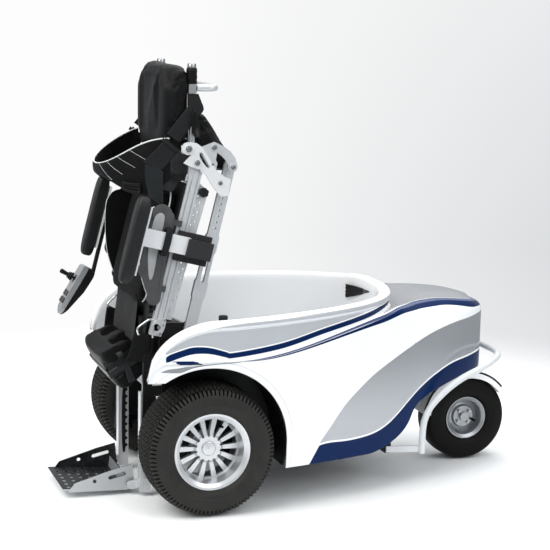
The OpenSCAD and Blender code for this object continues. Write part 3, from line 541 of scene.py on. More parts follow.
M = {
    # Gel-coated fibreglass body with its painted panels
    "livery": made("gel_coat_livery", livery),
    "white": made("gel_coat_white", plain_white),
    # Tyres: treaded turf rubber at the front, slick at the rear
    "tyre": made("turf_tyre_rubber", rubber, "#1b1b1a", "#2e2c28", 0.56, 0.26),
    "slick": made("slick_tyre_rubber", rubber, "#0a0a0a", "#161412", 0.6, 0.12),
    # Silver-lacquered cast rims, and the rear steel dish
    "rim": made("silver_lacquered_alloy", metal, "#c3c5c8", "#d6d8da", 0.3, metallic=0.75),
    "dish": made("zinc_steel_dish", metal, "#8e9194", "#a5a8ab", 0.36),
    # Anodised extrusions, bent sheet, chromed tubes and plated bolts
    "rail": made("anodised_rail", rail_metal),
    "alu": made("anodised_aluminium", anodised),
    "sheet": made("tread_plate", tread_plate),
    "chrome": made("chromed_steel", metal, "#d2d4d6", "#e6e7e8", 0.14, (1, 1, 0.05)),
    "bolt": made("zinc_plated_bolt", metal, "#7d8083", "#b2b4b6", 0.3, scale=2500),
    # Powder coats
    "silver_coat": made("silver_powder_coat", powder, "#cfd1d3", "#dfe1e3"),
    "bar_coat": made("light_grey_powder_coat", powder, "#c9cdd0", "#d8dbde", 0.34),
    "black_coat": made("black_powder_coat", powder, "#101011", "#1a1a1b", shine=0.25),
    "motor": made("cast_motor_case", powder, "#222324", "#2f3031", 0.5, 0.25),
    # Plastics and vinyl
    "black": made("black_grained_plastic", grained, "#0e0e0f", "#191919"),
    "grey": made("charcoal_grained_plastic", grained, "#464748", "#565758"),
    "guard": made("lined_charcoal_plastic", guard_plastic),
    "inlay": made("light_grey_inlay", grained, "#a3a4a5", "#b0b1b2", 0.45),
    "vinyl": made("charcoal_vinyl", grained, "#131415", "#1e1f21", 0.38, 950, 0.35),
    "joy": made("silver_lacquered_plastic", metal, "#9c9ea1", "#b0b2b5", 0.34, metallic=0.4),
    "knurl": made("knurled_black_plastic", knurled),
    # Cloths
    "nylon": made("black_nylon_cover", woven, "#040405", "#0c0c0e", 0.0011, 0.02, 0.42, 0.16),
    "satin": made("satin_nylon", woven, "#0c1012", "#1c2326", 0.0009, 0.05, 0.32, 0.4),
    "seat": made("charcoal_seat_cover", woven, "#050505", "#0d0d0e", 0.0014, 0.02, 0.7),
    "flap": made("charcoal_twill", woven, "#2a2a2b", "#3c3c3d", 0.0014, 0.02, 0.75),
    "web": made("black_webbing", woven, "#1b1c1d", "#2b2c2d", 0.0022, 0.02, 0.65),
    "piping": made("white_piping", woven, "#cfd0d0", "#f2f2f2", 0.0012, 0.1),
}

for names, key in (
    ("chassis_frame knee_pad_bracket rear_fork seat_board wheel_well_left wheel_well_right", "black_coat"),
    ("tub_floor rear_mudguard", "white"),
    ("bumper_bar", "bar_coat"),
    ("battery_pair rail_knobs joystick_base joystick_stick joystick_boot", "black"),
    ("arm_clamps", "knurl"),
    ("motor_controller drive_motor_left drive_motor_right lift_gearmotor", "motor"),
    ("guide_rods knee_shaft back_tubes joystick_gimbal", "chrome"),
    ("rear_lug_bolts", "bolt"),
    ("front_rim_left front_rim_right hub_cap_left hub_cap_right", "rim"),
    ("rear_rim", "dish"),
    ("seat_rail_left seat_rail_right", "rail"),
    ("rear_links back_arms foot_columns push_bar", "alu"),
    ("footplate", "sheet"),
    ("arm_bracket_left arm_bracket_right back_brackets", "silver_coat"),
    ("side_guard_left side_guard_right", "guard"),
    ("power_key speed_up_key speed_down_key horn_key", "grey"),
    ("joystick_cover", "joy"),
):
    for n in names.split():
        NODES[n].data.materials.clear()
        NODES[n].data.materials.append(M[key])


# Body: the same lines as the CAD, in millimetres from the front axle

W, NOSE, TAIL = 432.0, -200.0, 1060.0  # half width by the wheels, and the body's two ends
TUB, RIM_Z, FLOOR_Z = 690.0, 606.0, 330.0  # rear end, rim and floor of the tub
NOSE_LOW = 424.0  # lower edge ahead of the wheel
ARCH_Y, ARCH_Z, ARCH_R = -12.0, 212.0, 252.0  # centre and radius of the wheel arch


def ease(t):
    """A smooth S from 0 at 0 to 1 at 1, level beyond."""
    c = np.clip(t, 0, 1)
    return c * c * (3 - 2 * c)


def half_w(y, w=W, tail=TAIL):
    """Half width: full by the wheels, tapering to a blunt round tail."""
    t = np.clip((y - 100) / (tail - 100), 0, 1)
    cap = np.clip((y - 800) / (tail - 800), 0, 1)
    nose = w - 17 * ((100 - y) / 300) ** 2
    return np.where(y < 100, nose, w * (1 - 0.7 * t ** 1.5) * (1 - cap ** 3) ** (1 / 3))


def top_z(y):
    """Height of the tub's rim: a quarter ellipse up from the nose, then a slow climb that steepens at the
    rear."""
    fall = RIM_Z - 170 + 170 * np.sqrt(np.clip(1 - ((20 - y) / (20 - NOSE)) ** 2, 0, 1))
    climb = RIM_Z + 16 * (y - 20) / 610 + 12 * np.clip((y - 600) / 90, 0, None) ** 2
    return np.where(y < 20, fall, climb)


def crease_z(y):
    """Height of the crease between side and deck: an S up to the rear, bent down at the tail, and at the
    nose no higher than halfway up to the rim."""
    rise = 482 + 118 * ease((y - 71) / 700)
    z = rise - 24 * np.clip((y - 840) / 200, 0, None) ** 2 - 9 * ease((y - 640) / 100)
    return np.where(y < 0, np.minimum(z, (top_z(y) + NOSE_LOW) / 2), z)


def rim_half(y):
    """Half width of the tub's outline: the body's at the front, closing in a blunt oval to the rear."""
    t = np.clip((y - 50) / (TUB - 50), 0, 1)
    return np.where(y < 50, half_w(y, W - 2), (W - 2) * (1 - t ** 1.5) ** (1 / 3))


def line(points):
    """A smooth curve over the length, through a few measured points."""
    p = smooth_path(np.c_[points, np.zeros(len(points))], 600)
    return lambda y: np.interp(y, p[:, 0], p[:, 1])


# Edges of the painted panels: heights over the length, and the widths of the stripe and the streak
band_top = line([(-150, 524), (-108, 554), (-64, 574), (47, 596), (215, 606), (371, 610), (550, 615),
                 (690, 622)])
collar_up = line([(-150, 509), (-108, 523), (-68, 533), (-19, 530), (30, 516), (53, 511), (217, 529),
                  (373, 561), (551, 588), (640, 603), (690, 607)])
collar_low = line([(-150, 487), (-108, 502), (-68, 512), (-19, 511), (30, 499), (53, 495), (217, 512),
                   (374, 545), (552, 572), (640, 588), (690, 592)])
stripe_width = line([(74, 0), (150, 5), (217, 8), (371, 13), (535, 21), (594, 24), (660, 30), (740, 42),
                     (820, 50), (960, 46), (1060, 34)])
swoosh_up = line([(355, 197), (392, 242), (430, 290), (466, 327), (545, 387), (627, 431), (712, 470),
                  (770, 493), (831, 510), (894, 521), (966, 526), (1060, 534)])
swoosh_low = line([(355, 196), (394, 199), (473, 196), (554, 203), (609, 222), (653, 251), (698, 289),
                   (750, 328), (808, 361), (883, 389), (976, 399), (1060, 404)])
streak_mid = line([(-165, 459), (-139, 462), (-104, 463), (-65, 471), (-19, 476), (74, 480)])
streak_half = line([(-168, -1), (-160, 1.5), (-139, 5.5), (-104, 7.5), (-80, 5), (-65, 3), (-19, 1.6),
                    (74, 0.8), (80, -1)])
# Lower edge of the side behind the wheel
low_z = line([(300, 130), (500, 130), (566, 132), (633, 154), (678, 181), (706, 212), (722, 244), (742, 268),
              (780, 288), (828, 305), (891, 322), (962, 332), (1060, 338)])


def flash(y, z):
    """Slanted lozenge over the wheel: roughly how far a point lies inside its edges."""
    y, z = y + 83, z - 485
    return np.minimum(6.5 - np.abs(z + y * 0.03), 34 - np.abs(y + z * 1.9)) * 0.7


def shell_x(y, z, w, tail):
    """Half width of the side at a height: the body's, drawn in 16 mm at the lower edge and 8 mm at the
    crease."""
    h = half_w(y, w, tail)
    v = (z - low_z(y)) / (crease_z(y) - low_z(y))
    return np.maximum(0, h - (16 * (1 - v) ** 2 + 8 * v ** 2) * h / w)


def shoulder(y):
    """Radius of the roll from the side into the deck: it grows towards the tail and shrinks round its end."""
    return 80 * ease((y - 570) / 250) - 46 * ease((y - 850) / 150)


def outward(y, w=W, tail=TAIL):
    """Direction of the side in plan, square to the body's outline."""
    slope = (half_w(np.minimum(y + 0.05, tail), w, tail) - half_w(y - 0.05, w, tail)) / 0.1
    return 1 / np.hypot(1, slope), -slope / np.hypot(1, slope)


def shell_rows(w, tail, lip):
    """One face of a side shell: columns rise from the lower edge or the wheel arch to the crease. The
    face rolls inwards on a lip of the given radius at that edge, and on the shoulder's at the crease.
    Also the place along the body that each column started from, and the run along the section to the
    crease."""
    y1 = np.concatenate([np.linspace(NOSE, ARCH_Y, 60)[:-1],
                         ARCH_Y + (ARCH_R + W - w) * np.sin(np.linspace(0, np.pi / 2, 60))])
    y2 = tail - (tail - y1[-1]) * np.linspace(1, 0, 200) ** 1.6
    y = np.concatenate([y1, y2])
    arch = ARCH_Z + np.sqrt(np.clip((ARCH_R + W - w) ** 2 - (y - ARCH_Y) ** 2, 0, None))
    over_wheel = np.where(y < ARCH_Y - 10, np.maximum(arch, NOSE_LOW), arch)
    low = np.where(np.arange(len(y)) < len(y1), over_wheel, low_z(y))
    low = np.minimum(low, crease_z(y) - 2)
    v = ease(np.linspace(0, 1, 76))
    z = low[:, None] + (crease_z(y) - low)[:, None] * v
    yy = np.broadcast_to(y[:, None], z.shape)
    s = np.clip(z - low[:, None], 0, lip)
    curl = lip - np.sqrt(np.clip(lip ** 2 - (lip - s) ** 2, 0, None))
    x = shell_x(yy, z, w, tail) - curl * half_w(yy, w, tail) / w
    r = np.maximum(shoulder(yy) - (W - w), 0.01)
    roll = r - np.sqrt(np.clip(r ** 2 - np.clip(z - crease_z(yy) + r, 0, r) ** 2, 0, None))
    nx, ny = outward(yy, w, tail)
    x, y = np.maximum(0, x - roll * nx), yy - roll * ny
    step = np.sqrt(np.diff(x, axis=1) ** 2 + np.diff(y, axis=1) ** 2 + np.diff(z, axis=1) ** 2)
    run = np.concatenate([np.cumsum(step[:, ::-1], 1)[:, ::-1], 0 * step[:, :1]], 1)
    return x, y, z, yy, run


def side_shell(name, s):
    """Painted side, 7 mm thick: outer face, inner face and the edges between them."""
    outer, inner = shell_rows(W, TAIL, 6.0), shell_rows(W - 7, TAIL - 7, 1.0)
    x, y, z, along, run = (np.concatenate([o, i[:, ::-1]], 1) for o, i in zip(outer, inner))
    p = row(s * x, y, z)
    silver = np.minimum(z - swoosh_low(y), swoosh_up(y) - z)
    wedge = np.minimum(swoosh_low(y) - 6 - z, (y - 322) * 0.85 - (z - 133) * 0.5)
    wide, share = stripe_width(along), 0.5 - 0.1 * ease((along - 480) / 120)
    stripe = np.where(along > 74, np.minimum(wide - run, run - wide * share), -5)
    slate = np.where(along > 74, wide * 0.4 - run, -5)
    navy = np.maximum(np.maximum(wedge, stripe), flash(y, z))
    streak = streak_half(y) - np.abs(z - streak_mid(y))
    arch = np.hypot(y - ARCH_Y, z - ARCH_Z) - ARCH_R
    o = grid(f"body_side_{name}", p, M["livery"], "chassis", wrap_v=True, flip=s < 0,
             attrs={"silver": np.maximum(silver, streak), "navy": navy, "slate": slate, "arch": arch})
    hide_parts(f"side_shell_{name}")


for name, s in SIDES.items():
    side_shell(name, s)


def rounded_section(q, times=2):
    """Cuts the corners of closed sections q[row, point] a number of times."""
    for _ in range(times):
        n = np.roll(q, -1, 1)
        q = np.stack([0.75 * q + 0.25 * n, 0.25 * q + 0.75 * n], 2).reshape(q.shape[0], -1, q.shape[2])
    return q


def collar():
    """Collar, rolled lip and inner wall of the tub: one section carried round its outline. A section
    point is an offset inwards from the outline and a height."""
    n = 170
    y = NOSE + (TUB - NOSE) * (1 - (1 - np.linspace(0, 1, n)) ** 2.4)
    path = np.concatenate([np.stack([rim_half(y), y], 1), np.stack([-rim_half(y), y], 1)[-2::-1]])
    t = np.gradient(path, axis=0)
    t[n - 1] = (-1, 0)
    t /= np.linalg.norm(t, axis=1, keepdims=True)
    into = np.stack([-t[:, 1], t[:, 0]], 1)
    yy = path[:, 1:]
    top, low = top_z(yy), crease_z(yy) + 1 - 22 * ease((yy - 430) / 120)
    drop = np.minimum(26, (top - low) * 0.8)
    arch = ARCH_Z + np.sqrt(np.clip((ARCH_R + 9) ** 2 - (yy - ARCH_Y) ** 2, 0, None))
    nose = np.where(yy < -120, NOSE_LOW, 0)
    foot = np.minimum(top - drop - 1, np.maximum(np.maximum(FLOOR_Z, arch), nose))
    lip = smooth_path([(0, -1, 0), (-3, -0.86, 0), (-4.5, -0.6, 0), (-3.2, -0.25, 0), (2, -0.02, 0),
                       (10, 0.05, 0), (19, 0.05, 0), (27, -0.02, 0), (33, -0.2, 0), (36.5, -0.55, 0),
                       (38, -1, 0)], 44)
    k, j = np.linspace(0, 1, 34), np.linspace(0, 1, 18)[1:]
    under = top - drop - 2
    off = np.concatenate([0 * k, lip[1:, 0], 38 + 2 * j, [34, 32, 8, 4]])
    z = np.concatenate([low + (top - drop - low) * k, top + drop * lip[1:, 1],
                        top - drop + (foot - top + drop) * j, foot, under, under, low], 1)
    xy = path[:, None] + off[None, :, None] * into[:, None]
    y = xy[..., 1]
    outer = np.where(off < 5, 50, -50)
    front = np.minimum(outer, (y + 150) * 0.5)
    silver = np.minimum(np.minimum(z - collar_up(y) - 4, band_top(y) - z), front)
    navy = np.minimum(np.maximum(np.minimum(z - collar_low(y), collar_up(y) - z), flash(y, z)), front)
    none = 0 * z - 50
    attrs = {"silver": silver, "navy": navy, "slate": none, "arch": none, "pale": 0 * z + 1}
    o = grid("tub_collar", row(xy[..., 0], y, z), M["livery"], "chassis", wrap_v=True, caps=True, attrs=attrs)
    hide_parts("tub_rim")


collar()


def deck():
    """Rear deck and shoulders: a surface each side, from under the tub's collar, or the middle, out to the
    crease. It sinks below the crease beside the tub and swells above it at the tail."""
    along = TAIL - 1 - (TAIL - 1 - 78) * np.linspace(1, 0, 260) ** 1.8
    nx, ny = outward(along)
    w = np.maximum(0.2, half_w(along) * (1 - 8 / W) - shoulder(along) * nx - 0.5)
    y = along - shoulder(along) * ny
    inner = np.where(y < 686, np.maximum(0, rim_half(np.minimum(y, TUB)) - 14), 0)
    x = inner[:, None] + (w - inner)[:, None] * (1 - (1 - np.linspace(0, 1, 90)) ** 1.8)
    yy = np.broadcast_to(y[:, None], x.shape)
    d = w[:, None] - x
    edge = 1 + 5 * (1 - ease((yy - 600) / 150)) * (1 - np.exp(-d / 6))
    z = crease_z(along)[:, None] + edge + (28 * ease((yy - 640) / 200) - 16) * (1 - np.exp(-(d / 40) ** 2))
    gap = np.maximum(x - rim_half(np.clip(yy, 60, TUB - 0.5)), yy - TUB - 2)
    silver = np.minimum(np.minimum(gap - 14, d - 4.5), gap - 14 - (645 - yy) * 0.5)
    none = 0 * z - 50
    attrs = {"silver": silver, "navy": none, "slate": none, "arch": none}
    o = patches("rear_deck_skin", pair(lambda s: dict(p=row(s * x, yy, z), flip=s > 0, attrs=attrs)),
                M["livery"], "chassis")
    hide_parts("rear_deck")


deck()


# Wheels

FRONT_X, FRONT_R = 338, 203  # middle and radius of a front tyre
REAR_Y, REAR_R = 1018, 147  # axle and radius of the rear tyre
TURF_TURNS = 784  # sections round a front tyre


def spun(profile, centre, turns, s=1, lift=None):
    """Points of an (along, radius) profile in millimetres, spun about X at a (x, y, z) centre.
    lift(angle, profile) changes the radius."""
    a = np.linspace(0, 2 * np.pi, turns, endpoint=False)
    q = np.asarray(profile, float)
    r = np.broadcast_to(q[:, 1], (turns, len(q)))
    if lift is not None:
        r = r + lift(a[:, None], q[None])
    x = np.broadcast_to(centre[0] + s * q[:, 0], r.shape)
    return row(x, centre[1] + r * np.cos(a)[:, None], centre[2] + r * np.sin(a)[:, None])


def tyre_section(r, bead, w, rib, n_side, n_tread):
    """Section of a tyre of radius r and width w on a rim of radius bead: half-round sidewalls with rings
    moulded on them, rib millimetres high, a shoulder, and a crowned tread."""
    side = np.array([(-w * 0.33, bead), (-w * 0.372, bead + 6), (-w * 0.455, bead + (r - bead) * 0.2),
                     (-w / 2, bead + (r - bead) * 0.45), (-w * 0.497, r - 34), (-w * 0.478, r - 20),
                     (-w * 0.445, r - 10)], float)
    c = smooth_path(np.c_[side, np.zeros(len(side))], n_side)[:, :2]
    ringed = (c[:, 1] > bead + 9) & (c[:, 1] < r - 46)
    c[:, 0] -= np.clip(np.sin((c[:, 1] - bead) * 0.7), 0, 1) * np.where(ringed, rib, 0)
    x = np.linspace(-0.445, 0.445, n_tread + 2)[1:-1] * w
    t = np.stack([x, r - 10 * np.abs(x / (0.445 * w)) ** 3.2], 1)
    return np.concatenate([c, t, c[::-1] * (-1, 1)])


def turf_tread(a, q):
    """Depth of the tread from 0 to 1: zigzag ribs 17 mm apart parted by grooves, cut across in chevrons,
    k of them round the tyre, and open shoulder lugs."""
    x, r = q[..., 0], q[..., 1]
    k = 90
    tri = np.abs((a * k / (2 * np.pi)) % 1 * 2 - 1)
    zig = x + (tri - 0.5) * 9
    groove = np.abs((zig / 17.0 + 0.5) % 1 - 0.5) * 17.0
    chevron = np.abs((x / 34.0 + 0.25) % 1 * 2 - 1)
    across = np.abs((a * k / (2 * np.pi) + chevron * 1.2) % 1 - 0.5) * (2 * np.pi * 198 / k)
    cut = np.clip(1.5 - groove / 2.6, 0, 1) + np.clip(1.5 - across / 2.3, 0, 1)
    lug = np.abs((a * k / (2 * np.pi) + np.sign(x) * 0.25) % 1 - 0.5) * 2
    aside = np.clip((np.abs(x) - 66) / 8, 0, 1)
    depth = np.clip(cut, 0, 1) * (1 - aside) + np.clip((0.42 - lug) * 6, 0, 1) * aside
    return depth * np.clip((r - 178) / 6, 0, 1) * np.clip((92 - np.abs(x)) / 6, 0, 1)


for name, s in SIDES.items():
    sec = tyre_section(FRONT_R, 110, 184, 2.2, 28, 70)
    turns = np.linspace(0, 2 * np.pi, TURF_TURNS, endpoint=False)[:, None]
    p = spun(sec, (s * FRONT_X, 0, FRONT_R), TURF_TURNS, s, lambda a, q: -8 * turf_tread(a, q))
    o = grid(f"turf_tyre_{name}", p, M["tyre"], f"front_wheel_{name}", wrap_u=True, flip=s < 0,
             attrs={"groove": turf_tread(turns, sec[None])})
    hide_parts(f"front_tyre_{name}")
sec = tyre_section(REAR_R, 67, 112, 0.5, 40, 30)
o = grid("slick_tyre", spun(sec, (0, REAR_Y, REAR_R), 160), M["slick"], "rear_wheel", wrap_u=True)
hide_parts("rear_tyre")


# Soft pieces

def power(v, k):
    """A power of the size that keeps the sign."""
    return np.sign(v) * np.abs(v) ** k


def pillow(a, b, c, e, n=72, m=44):
    """Points of a rounded block: half sizes a, b, c, and roundness e from 0, square, to 1, an ellipsoid."""
    u = np.linspace(-np.pi, np.pi, n, endpoint=False)[:, None]
    v = np.linspace(-np.pi / 2, np.pi / 2, m)[None]
    x = a * power(np.cos(v), e) * power(np.cos(u), e)
    y = b * power(np.cos(v), e) * power(np.sin(u), e)
    return np.stack([x, y, c * power(np.sin(v), e) + 0 * u], -1)


LEAN = math.radians(14)  # of the seat rails, standing


def on_rail(p):
    """Rail frame in millimetres, from the knee shaft, z along the rail and -y to the sitter, to the row's
    metres."""
    x, y, z = np.moveaxis(np.asarray(p, float), -1, 0)
    c, s = math.cos(LEAN), math.sin(LEAN)
    return row(x, -130 + y * c + z * s, 556 - y * s + z * c)


def plain(p):
    """Points in millimetres from the front axle to the row's metres."""
    return row(*np.moveaxis(np.asarray(p, float), -1, 0))


def vertices(o):
    """An object's vertices as an array."""
    co = np.empty(3 * len(o.data.vertices))
    o.data.vertices.foreach_get("co", co)
    return co.reshape(-1, 3)


def bake(o):
    """Makes what the modifiers show the object's own mesh."""
    o.data = bpy.data.meshes.new_from_object(o.evaluated_get(bpy.context.evaluated_depsgraph_get()))
    o.modifiers.clear()


def box_uv(o):
    """UV map in metres, laid on each face along the two axes that it faces least."""
    me = o.data
    normal = np.empty(3 * len(me.polygons))
    me.polygons.foreach_get("normal", normal)
    count, at = np.empty(len(me.polygons), int), np.empty(len(me.loops), int)
    me.polygons.foreach_get("loop_total", count)
    me.loops.foreach_get("vertex_index", at)
    axis = np.repeat(np.abs(normal.reshape(-1, 3)).argmax(1), count)
    q = vertices(o)[at]
    uv = np.stack([np.where(axis == 0, q[:, 1], q[:, 0]), np.where(axis == 2, q[:, 1], q[:, 2])], 1)
    me.uv_layers.new(name="UVMap").data.foreach_set("uv", uv.astype(np.float32).ravel())


def stuffed(o, cap, grow=0.05, voxel=0.005):
    """Cloth pass over a drawn cushion: an even mesh, a cover cut a little too large and blown up from
    inside, so that it creases, with no point further than cap metres from where it was drawn."""
    remesh = o.modifiers.new("remesh", "REMESH")
    remesh.mode, remesh.voxel_size = "VOXEL", voxel
    bake(o)
    drawn = vertices(o)
    cloth = o.modifiers.new("cloth", "CLOTH")
    c = cloth.settings
    c.quality, c.mass = 4, 0.3
    c.tension_stiffness = c.compression_stiffness = 14
    c.shear_stiffness, c.bending_stiffness = 6, 0.3
    c.use_pressure, c.uniform_pressure_force, c.shrink_min = True, 4, -grow
    c.effector_weights.gravity = 0
    for f in range(1, 21):
        scene.frame_set(f)
    bake(o)
    step = vertices(o) - drawn
    length = np.linalg.norm(step, axis=1, keepdims=True)
    held = drawn + step * np.minimum(1, cap / np.maximum(length, 1e-9))
    o.data.vertices.foreach_set("co", held.ravel())
    scene.frame_set(1)
    o.modifiers.new("subdivision", "SUBSURF").levels = 1
    bake(o)
    o.data.polygons.foreach_set("use_smooth", [True] * len(o.data.polygons))
    box_uv(o)


def pad(name, p, mat, body, node, slot, fill=0.7, cap=0.0, **part):
    """A cushion that stands for a CAD node, with a cloth pass where cap is given."""
    o = grid(name, p, mat, None, **(part or {"wrap_u": True}))
    if cap:
        stuffed(o, cap)
    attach(o, body)
    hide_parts(node)
    return o


def mound(y, z, a, b, width):
    """A soft ridge, 1 along the segment from a to b and fading over a width."""
    a, b = np.array(a, float), np.array(b, float)
    t = np.clip(((y - a[0]) * (b - a)[0] + (z - a[1]) * (b - a)[1]) / ((b - a) @ (b - a)), 0, 1)
    return np.exp(-((y - a[0] - t * (b - a)[0]) ** 2 + (z - a[1] - t * (b - a)[1]) ** 2) / width ** 2)


def back_pad():
    """Back cushion: a slack middle panel creased in a V, between firmer sides parted off by seams. Its
    lower end is drawn in, to clear the seat and the belt when the sitter is down."""
    q = pillow(172, 35, 114, 0.3, 120, 70)
    x, y, z = np.moveaxis(q.copy(), -1, 0)
    front = np.clip(-y / 35, 0, 1)
    folds = sum(high * mound(x, z, a, b, wide) for a, b, wide, high in (
        ((20, -86), (-66, 96), 12, 11), ((26, -86), (92, 84), 12, 11), ((12, -30), (-34, 44), 8, 8),
        ((30, -20), (66, 48), 8, 7), ((-70, 70), (40, 98), 8, 7), ((-96, -10), (-24, -76), 8, 7),
        ((100, -6), (44, -72), 8, 7)))
    seam = np.exp(-((np.abs(x) - 112) / 6) ** 2) + 0.6 * np.exp(-((z - 92) / 5) ** 2) * (np.abs(x) < 112)
    middle = np.clip((112 - np.abs(x)) / 14, 0, 1)
    q[..., 2] = z * np.where(z > 0, 1 - 0.5 * ease((np.abs(x) - 84) / 70) * ease(front * 2), 1.42)
    low = ease((-88 - q[..., 2]) / 30)
    q[..., 1] = y - front * ((folds - 5 * seam - 8 * middle) * (1 - low) - 4 * low)
    q[..., 0] = x * (1 + (1 - front) * (0.06 + 0.11 * ease((q[..., 2] + 80) / 40))) * (1 - 0.04 * low)
    pad("back_pad", plain(q + (0, -62, 1240)), M["nylon"], "back_frame", "back_cushion", "black_fabric",
        cap=0.004)


back_pad()

SEAT_X, SEAT_Z, SEAT_MID, SEAT_ROUND = 195, 184, 238, 0.28  # half sizes, middle on the rail, roundness


def seat_pad():
    """Seat cushion: a rounded block, crowned to the sitter and a little narrower at its upper end."""
    thick = 22
    q = pillow(SEAT_X, thick, SEAT_Z, SEAT_ROUND, 120, 60)
    q[..., 1] -= 7 * np.clip(-q[..., 1] / thick, 0, 1) * np.clip(1 - (q[..., 0] / 190) ** 4, 0, 1)
    q[..., 0] *= 1 - 0.07 * ease((q[..., 2] - 80) / 90)
    pad("seat_pad", on_rail(q + (0, -20.4 - thick, SEAT_MID)), M["seat"], "seat_frame", "seat_cushion",
        "black_fabric", cap=0.005)


seat_pad()
for name, s in SIDES.items():
    q = pillow(27, 21, 135, 0.4, 96, 80) + (s * 275, -125.9 - 21, 253)
    pad(f"arm_pad_cover_{name}", on_rail(q), M["vinyl"], f"arm_{name}", f"arm_pad_{name}", "pad_vinyl")


def on_knee(p):
    """Frame of the tilted knee block, z along its front face, to the row's metres."""
    x, y, z = np.moveaxis(np.asarray(p, float), -1, 0)
    c, s = math.cos(math.radians(31)), math.sin(math.radians(31))
    return row(x, -290 + y * c - z * s, 455 + y * s + z * c)


def knee_block():
    """Tilted block with two leg hollows open to the back."""
    half, deep, tall = 127.0, 126.0, 140.0
    u = np.linspace(-1, 1, 110)[:, None]
    v = np.linspace(-1, 1, 60)[None]
    off = np.clip((1 - v ** 4) * (1 - u ** 10), 0, 1) ** 0.35
    hollow = 66 * np.clip(1 - ((np.abs(u) - 0.5) / 0.34) ** 4, 0, 1) ** 0.5
    front = 24 - 24 * off
    back = 50 + (deep - 50 - hollow) * off
    x = np.broadcast_to(-half * u, front.shape)
    z = np.broadcast_to(tall / 2 * (v - 1), front.shape)
    p = np.concatenate([np.stack([x, front, z], -1), np.stack([x, back, z], -1)[:, ::-1]], 1)
    pad("knee_block_cover", on_knee(p), M["nylon"], "chassis", "knee_pad", "black_fabric", 0.8, 0.003,
        wrap_v=True, caps=True)


knee_block()


def sling():
    """Pelvis pad: a soft bolster across the back, deepest behind the sitter."""
    outline = np.array([[6, 1214], [22, 1214], [72, 1140], [116, 1072], [128, 1044], [108, 1024], [62, 1036],
                        [22, 1076], [4, 1138]], float)
    x = np.linspace(-172, 172, 60)
    q = rounded_section(np.broadcast_to(outline, (60, 9, 2)).copy(), 2)
    mid = outline.mean(0)
    q = mid + (q - mid) * (1 - 0.10 * np.abs(x / 172) ** 6)[:, None, None]
    p = row(np.broadcast_to(x[:, None], q.shape[:2]), q[..., 0], q[..., 1])
    pad("pelvis_sling", p, M["nylon"], "back_frame", "pelvis_pad", "black_fabric", 0.6, 0.006, wrap_v=True,
        caps=True, flip=True)


sling()
# Lumbar pad: a thin rounded block across the back frame, behind the hip
o = grid("lumbar_pad", plain(pillow(172, 5, 52, 0.25) + (0, 6, 1036)), M["satin"], "back_frame", wrap_u=True)


# Hip belt: half an ellipse in plan, forward of its two ends

BELT_X, BELT_REACH, BELT_END = 202, 186, -84  # half width, reach forward, and where along the body it ends


def belt_edges(a):
    """Heights of the belt's upper and lower edge at an angle from 0, the left end, to pi, the right end."""
    reach = np.sin(a)
    high = 1132 - 90 * np.clip(reach, 0, 1) ** 1.2 + 20 * np.clip(np.cos(a), 0, 1) * np.sin(np.pi * reach)
    return high, 1008 - 48 * np.sin(np.pi * np.minimum(1, reach * 1.02))


def on_belt(a, up, off):
    """A point of the belt: an angle round it, -1 at its lower to 1 at its upper edge, and millimetres
    outwards."""
    a, up, off = np.broadcast_arrays(a, up, off)
    reach, c = np.sin(a), np.cos(a)
    high, low = belt_edges(a)
    size = np.hypot(BELT_REACH * c, BELT_X * reach)
    z = (high + low) / 2 + (high - low) / 2 * up
    x = BELT_X * c + BELT_REACH * c / size * off
    y = BELT_END - BELT_REACH * reach - BELT_X * reach / size * off + (high - z) * 0.1 * reach
    return row(x, y, z)


def belt_swell(a):
    """Millimetres that the padding stands out on either face, most at the front."""
    return 1.5 + 4.5 * np.sin(a)


def channel(a, drop):
    """Number of the quilting channel at an angle and a depth below the upper edge: they slant to the
    ends, 44 mm apart."""
    return (195 * np.minimum(a, np.pi - a) + drop) / 44


def belt():
    """Padded band, thicker in the middle of its height and drawn in along the quilting seams."""
    a = np.linspace(0, np.pi, 260)[:, None]
    k = np.linspace(0, 2 * np.pi, 90, endpoint=False)[None]
    over = power(np.cos(k), 0.6)
    high, low = belt_edges(a)
    drop = (high - low) / 2 * (1 - np.sin(k))
    seam = np.exp(-((channel(a, drop) + 0.5) % 1 - 0.5) ** 2 / 0.004) * (drop < 62)
    p = on_belt(a, np.sin(k), belt_swell(a) * over * (1 - 0.3 * seam))
    o = grid("hip_belt_cover", p, M["nylon"], "belt", wrap_v=True, caps=True)
    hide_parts("hip_belt")
    a = np.linspace(0.02, np.pi - 0.02, 160)
    edge = sweep(on_belt(a, 1.0, 0.5), ring(0.0022, 12))
    grid("belt_piping", edge, M["piping"], "belt", wrap_v=True, caps=True)
    threads = []
    for k in range(3, 7):
        drop = np.linspace(3, 62, 24)
        near = (44 * k - drop) / 195
        for a in (near, np.pi - near):
            high, low = belt_edges(a)
            up = 1 - 2 * drop / (high - low)
            swell = np.abs(np.cos(np.arcsin(np.clip(up, -1, 1)))) ** 0.6
            path = on_belt(a, up, belt_swell(a) * swell * 0.72 + 0.5)
            threads.append(dict(p=sweep(path, ring(0.0005, 6)), wrap_v=True, caps=True))
    patches("belt_stitching", threads, M["piping"], "belt")


belt()


def belt_block(a0, a1, u0, u1, o0, o1, e=0.3):
    """Rounded block laid on the belt between two angles, two heights and two offsets."""
    x, y, z = np.moveaxis(pillow(1, 1, 1, e, 40, 24), -1, 0)
    return dict(p=on_belt((a0 + a1) / 2 + (a1 - a0) / 2 * x, (u0 + u1) / 2 + (u1 - u0) / 2 * z,
                          (o0 + o1) / 2 + (o1 - o0) / 2 * y), wrap_u=True)


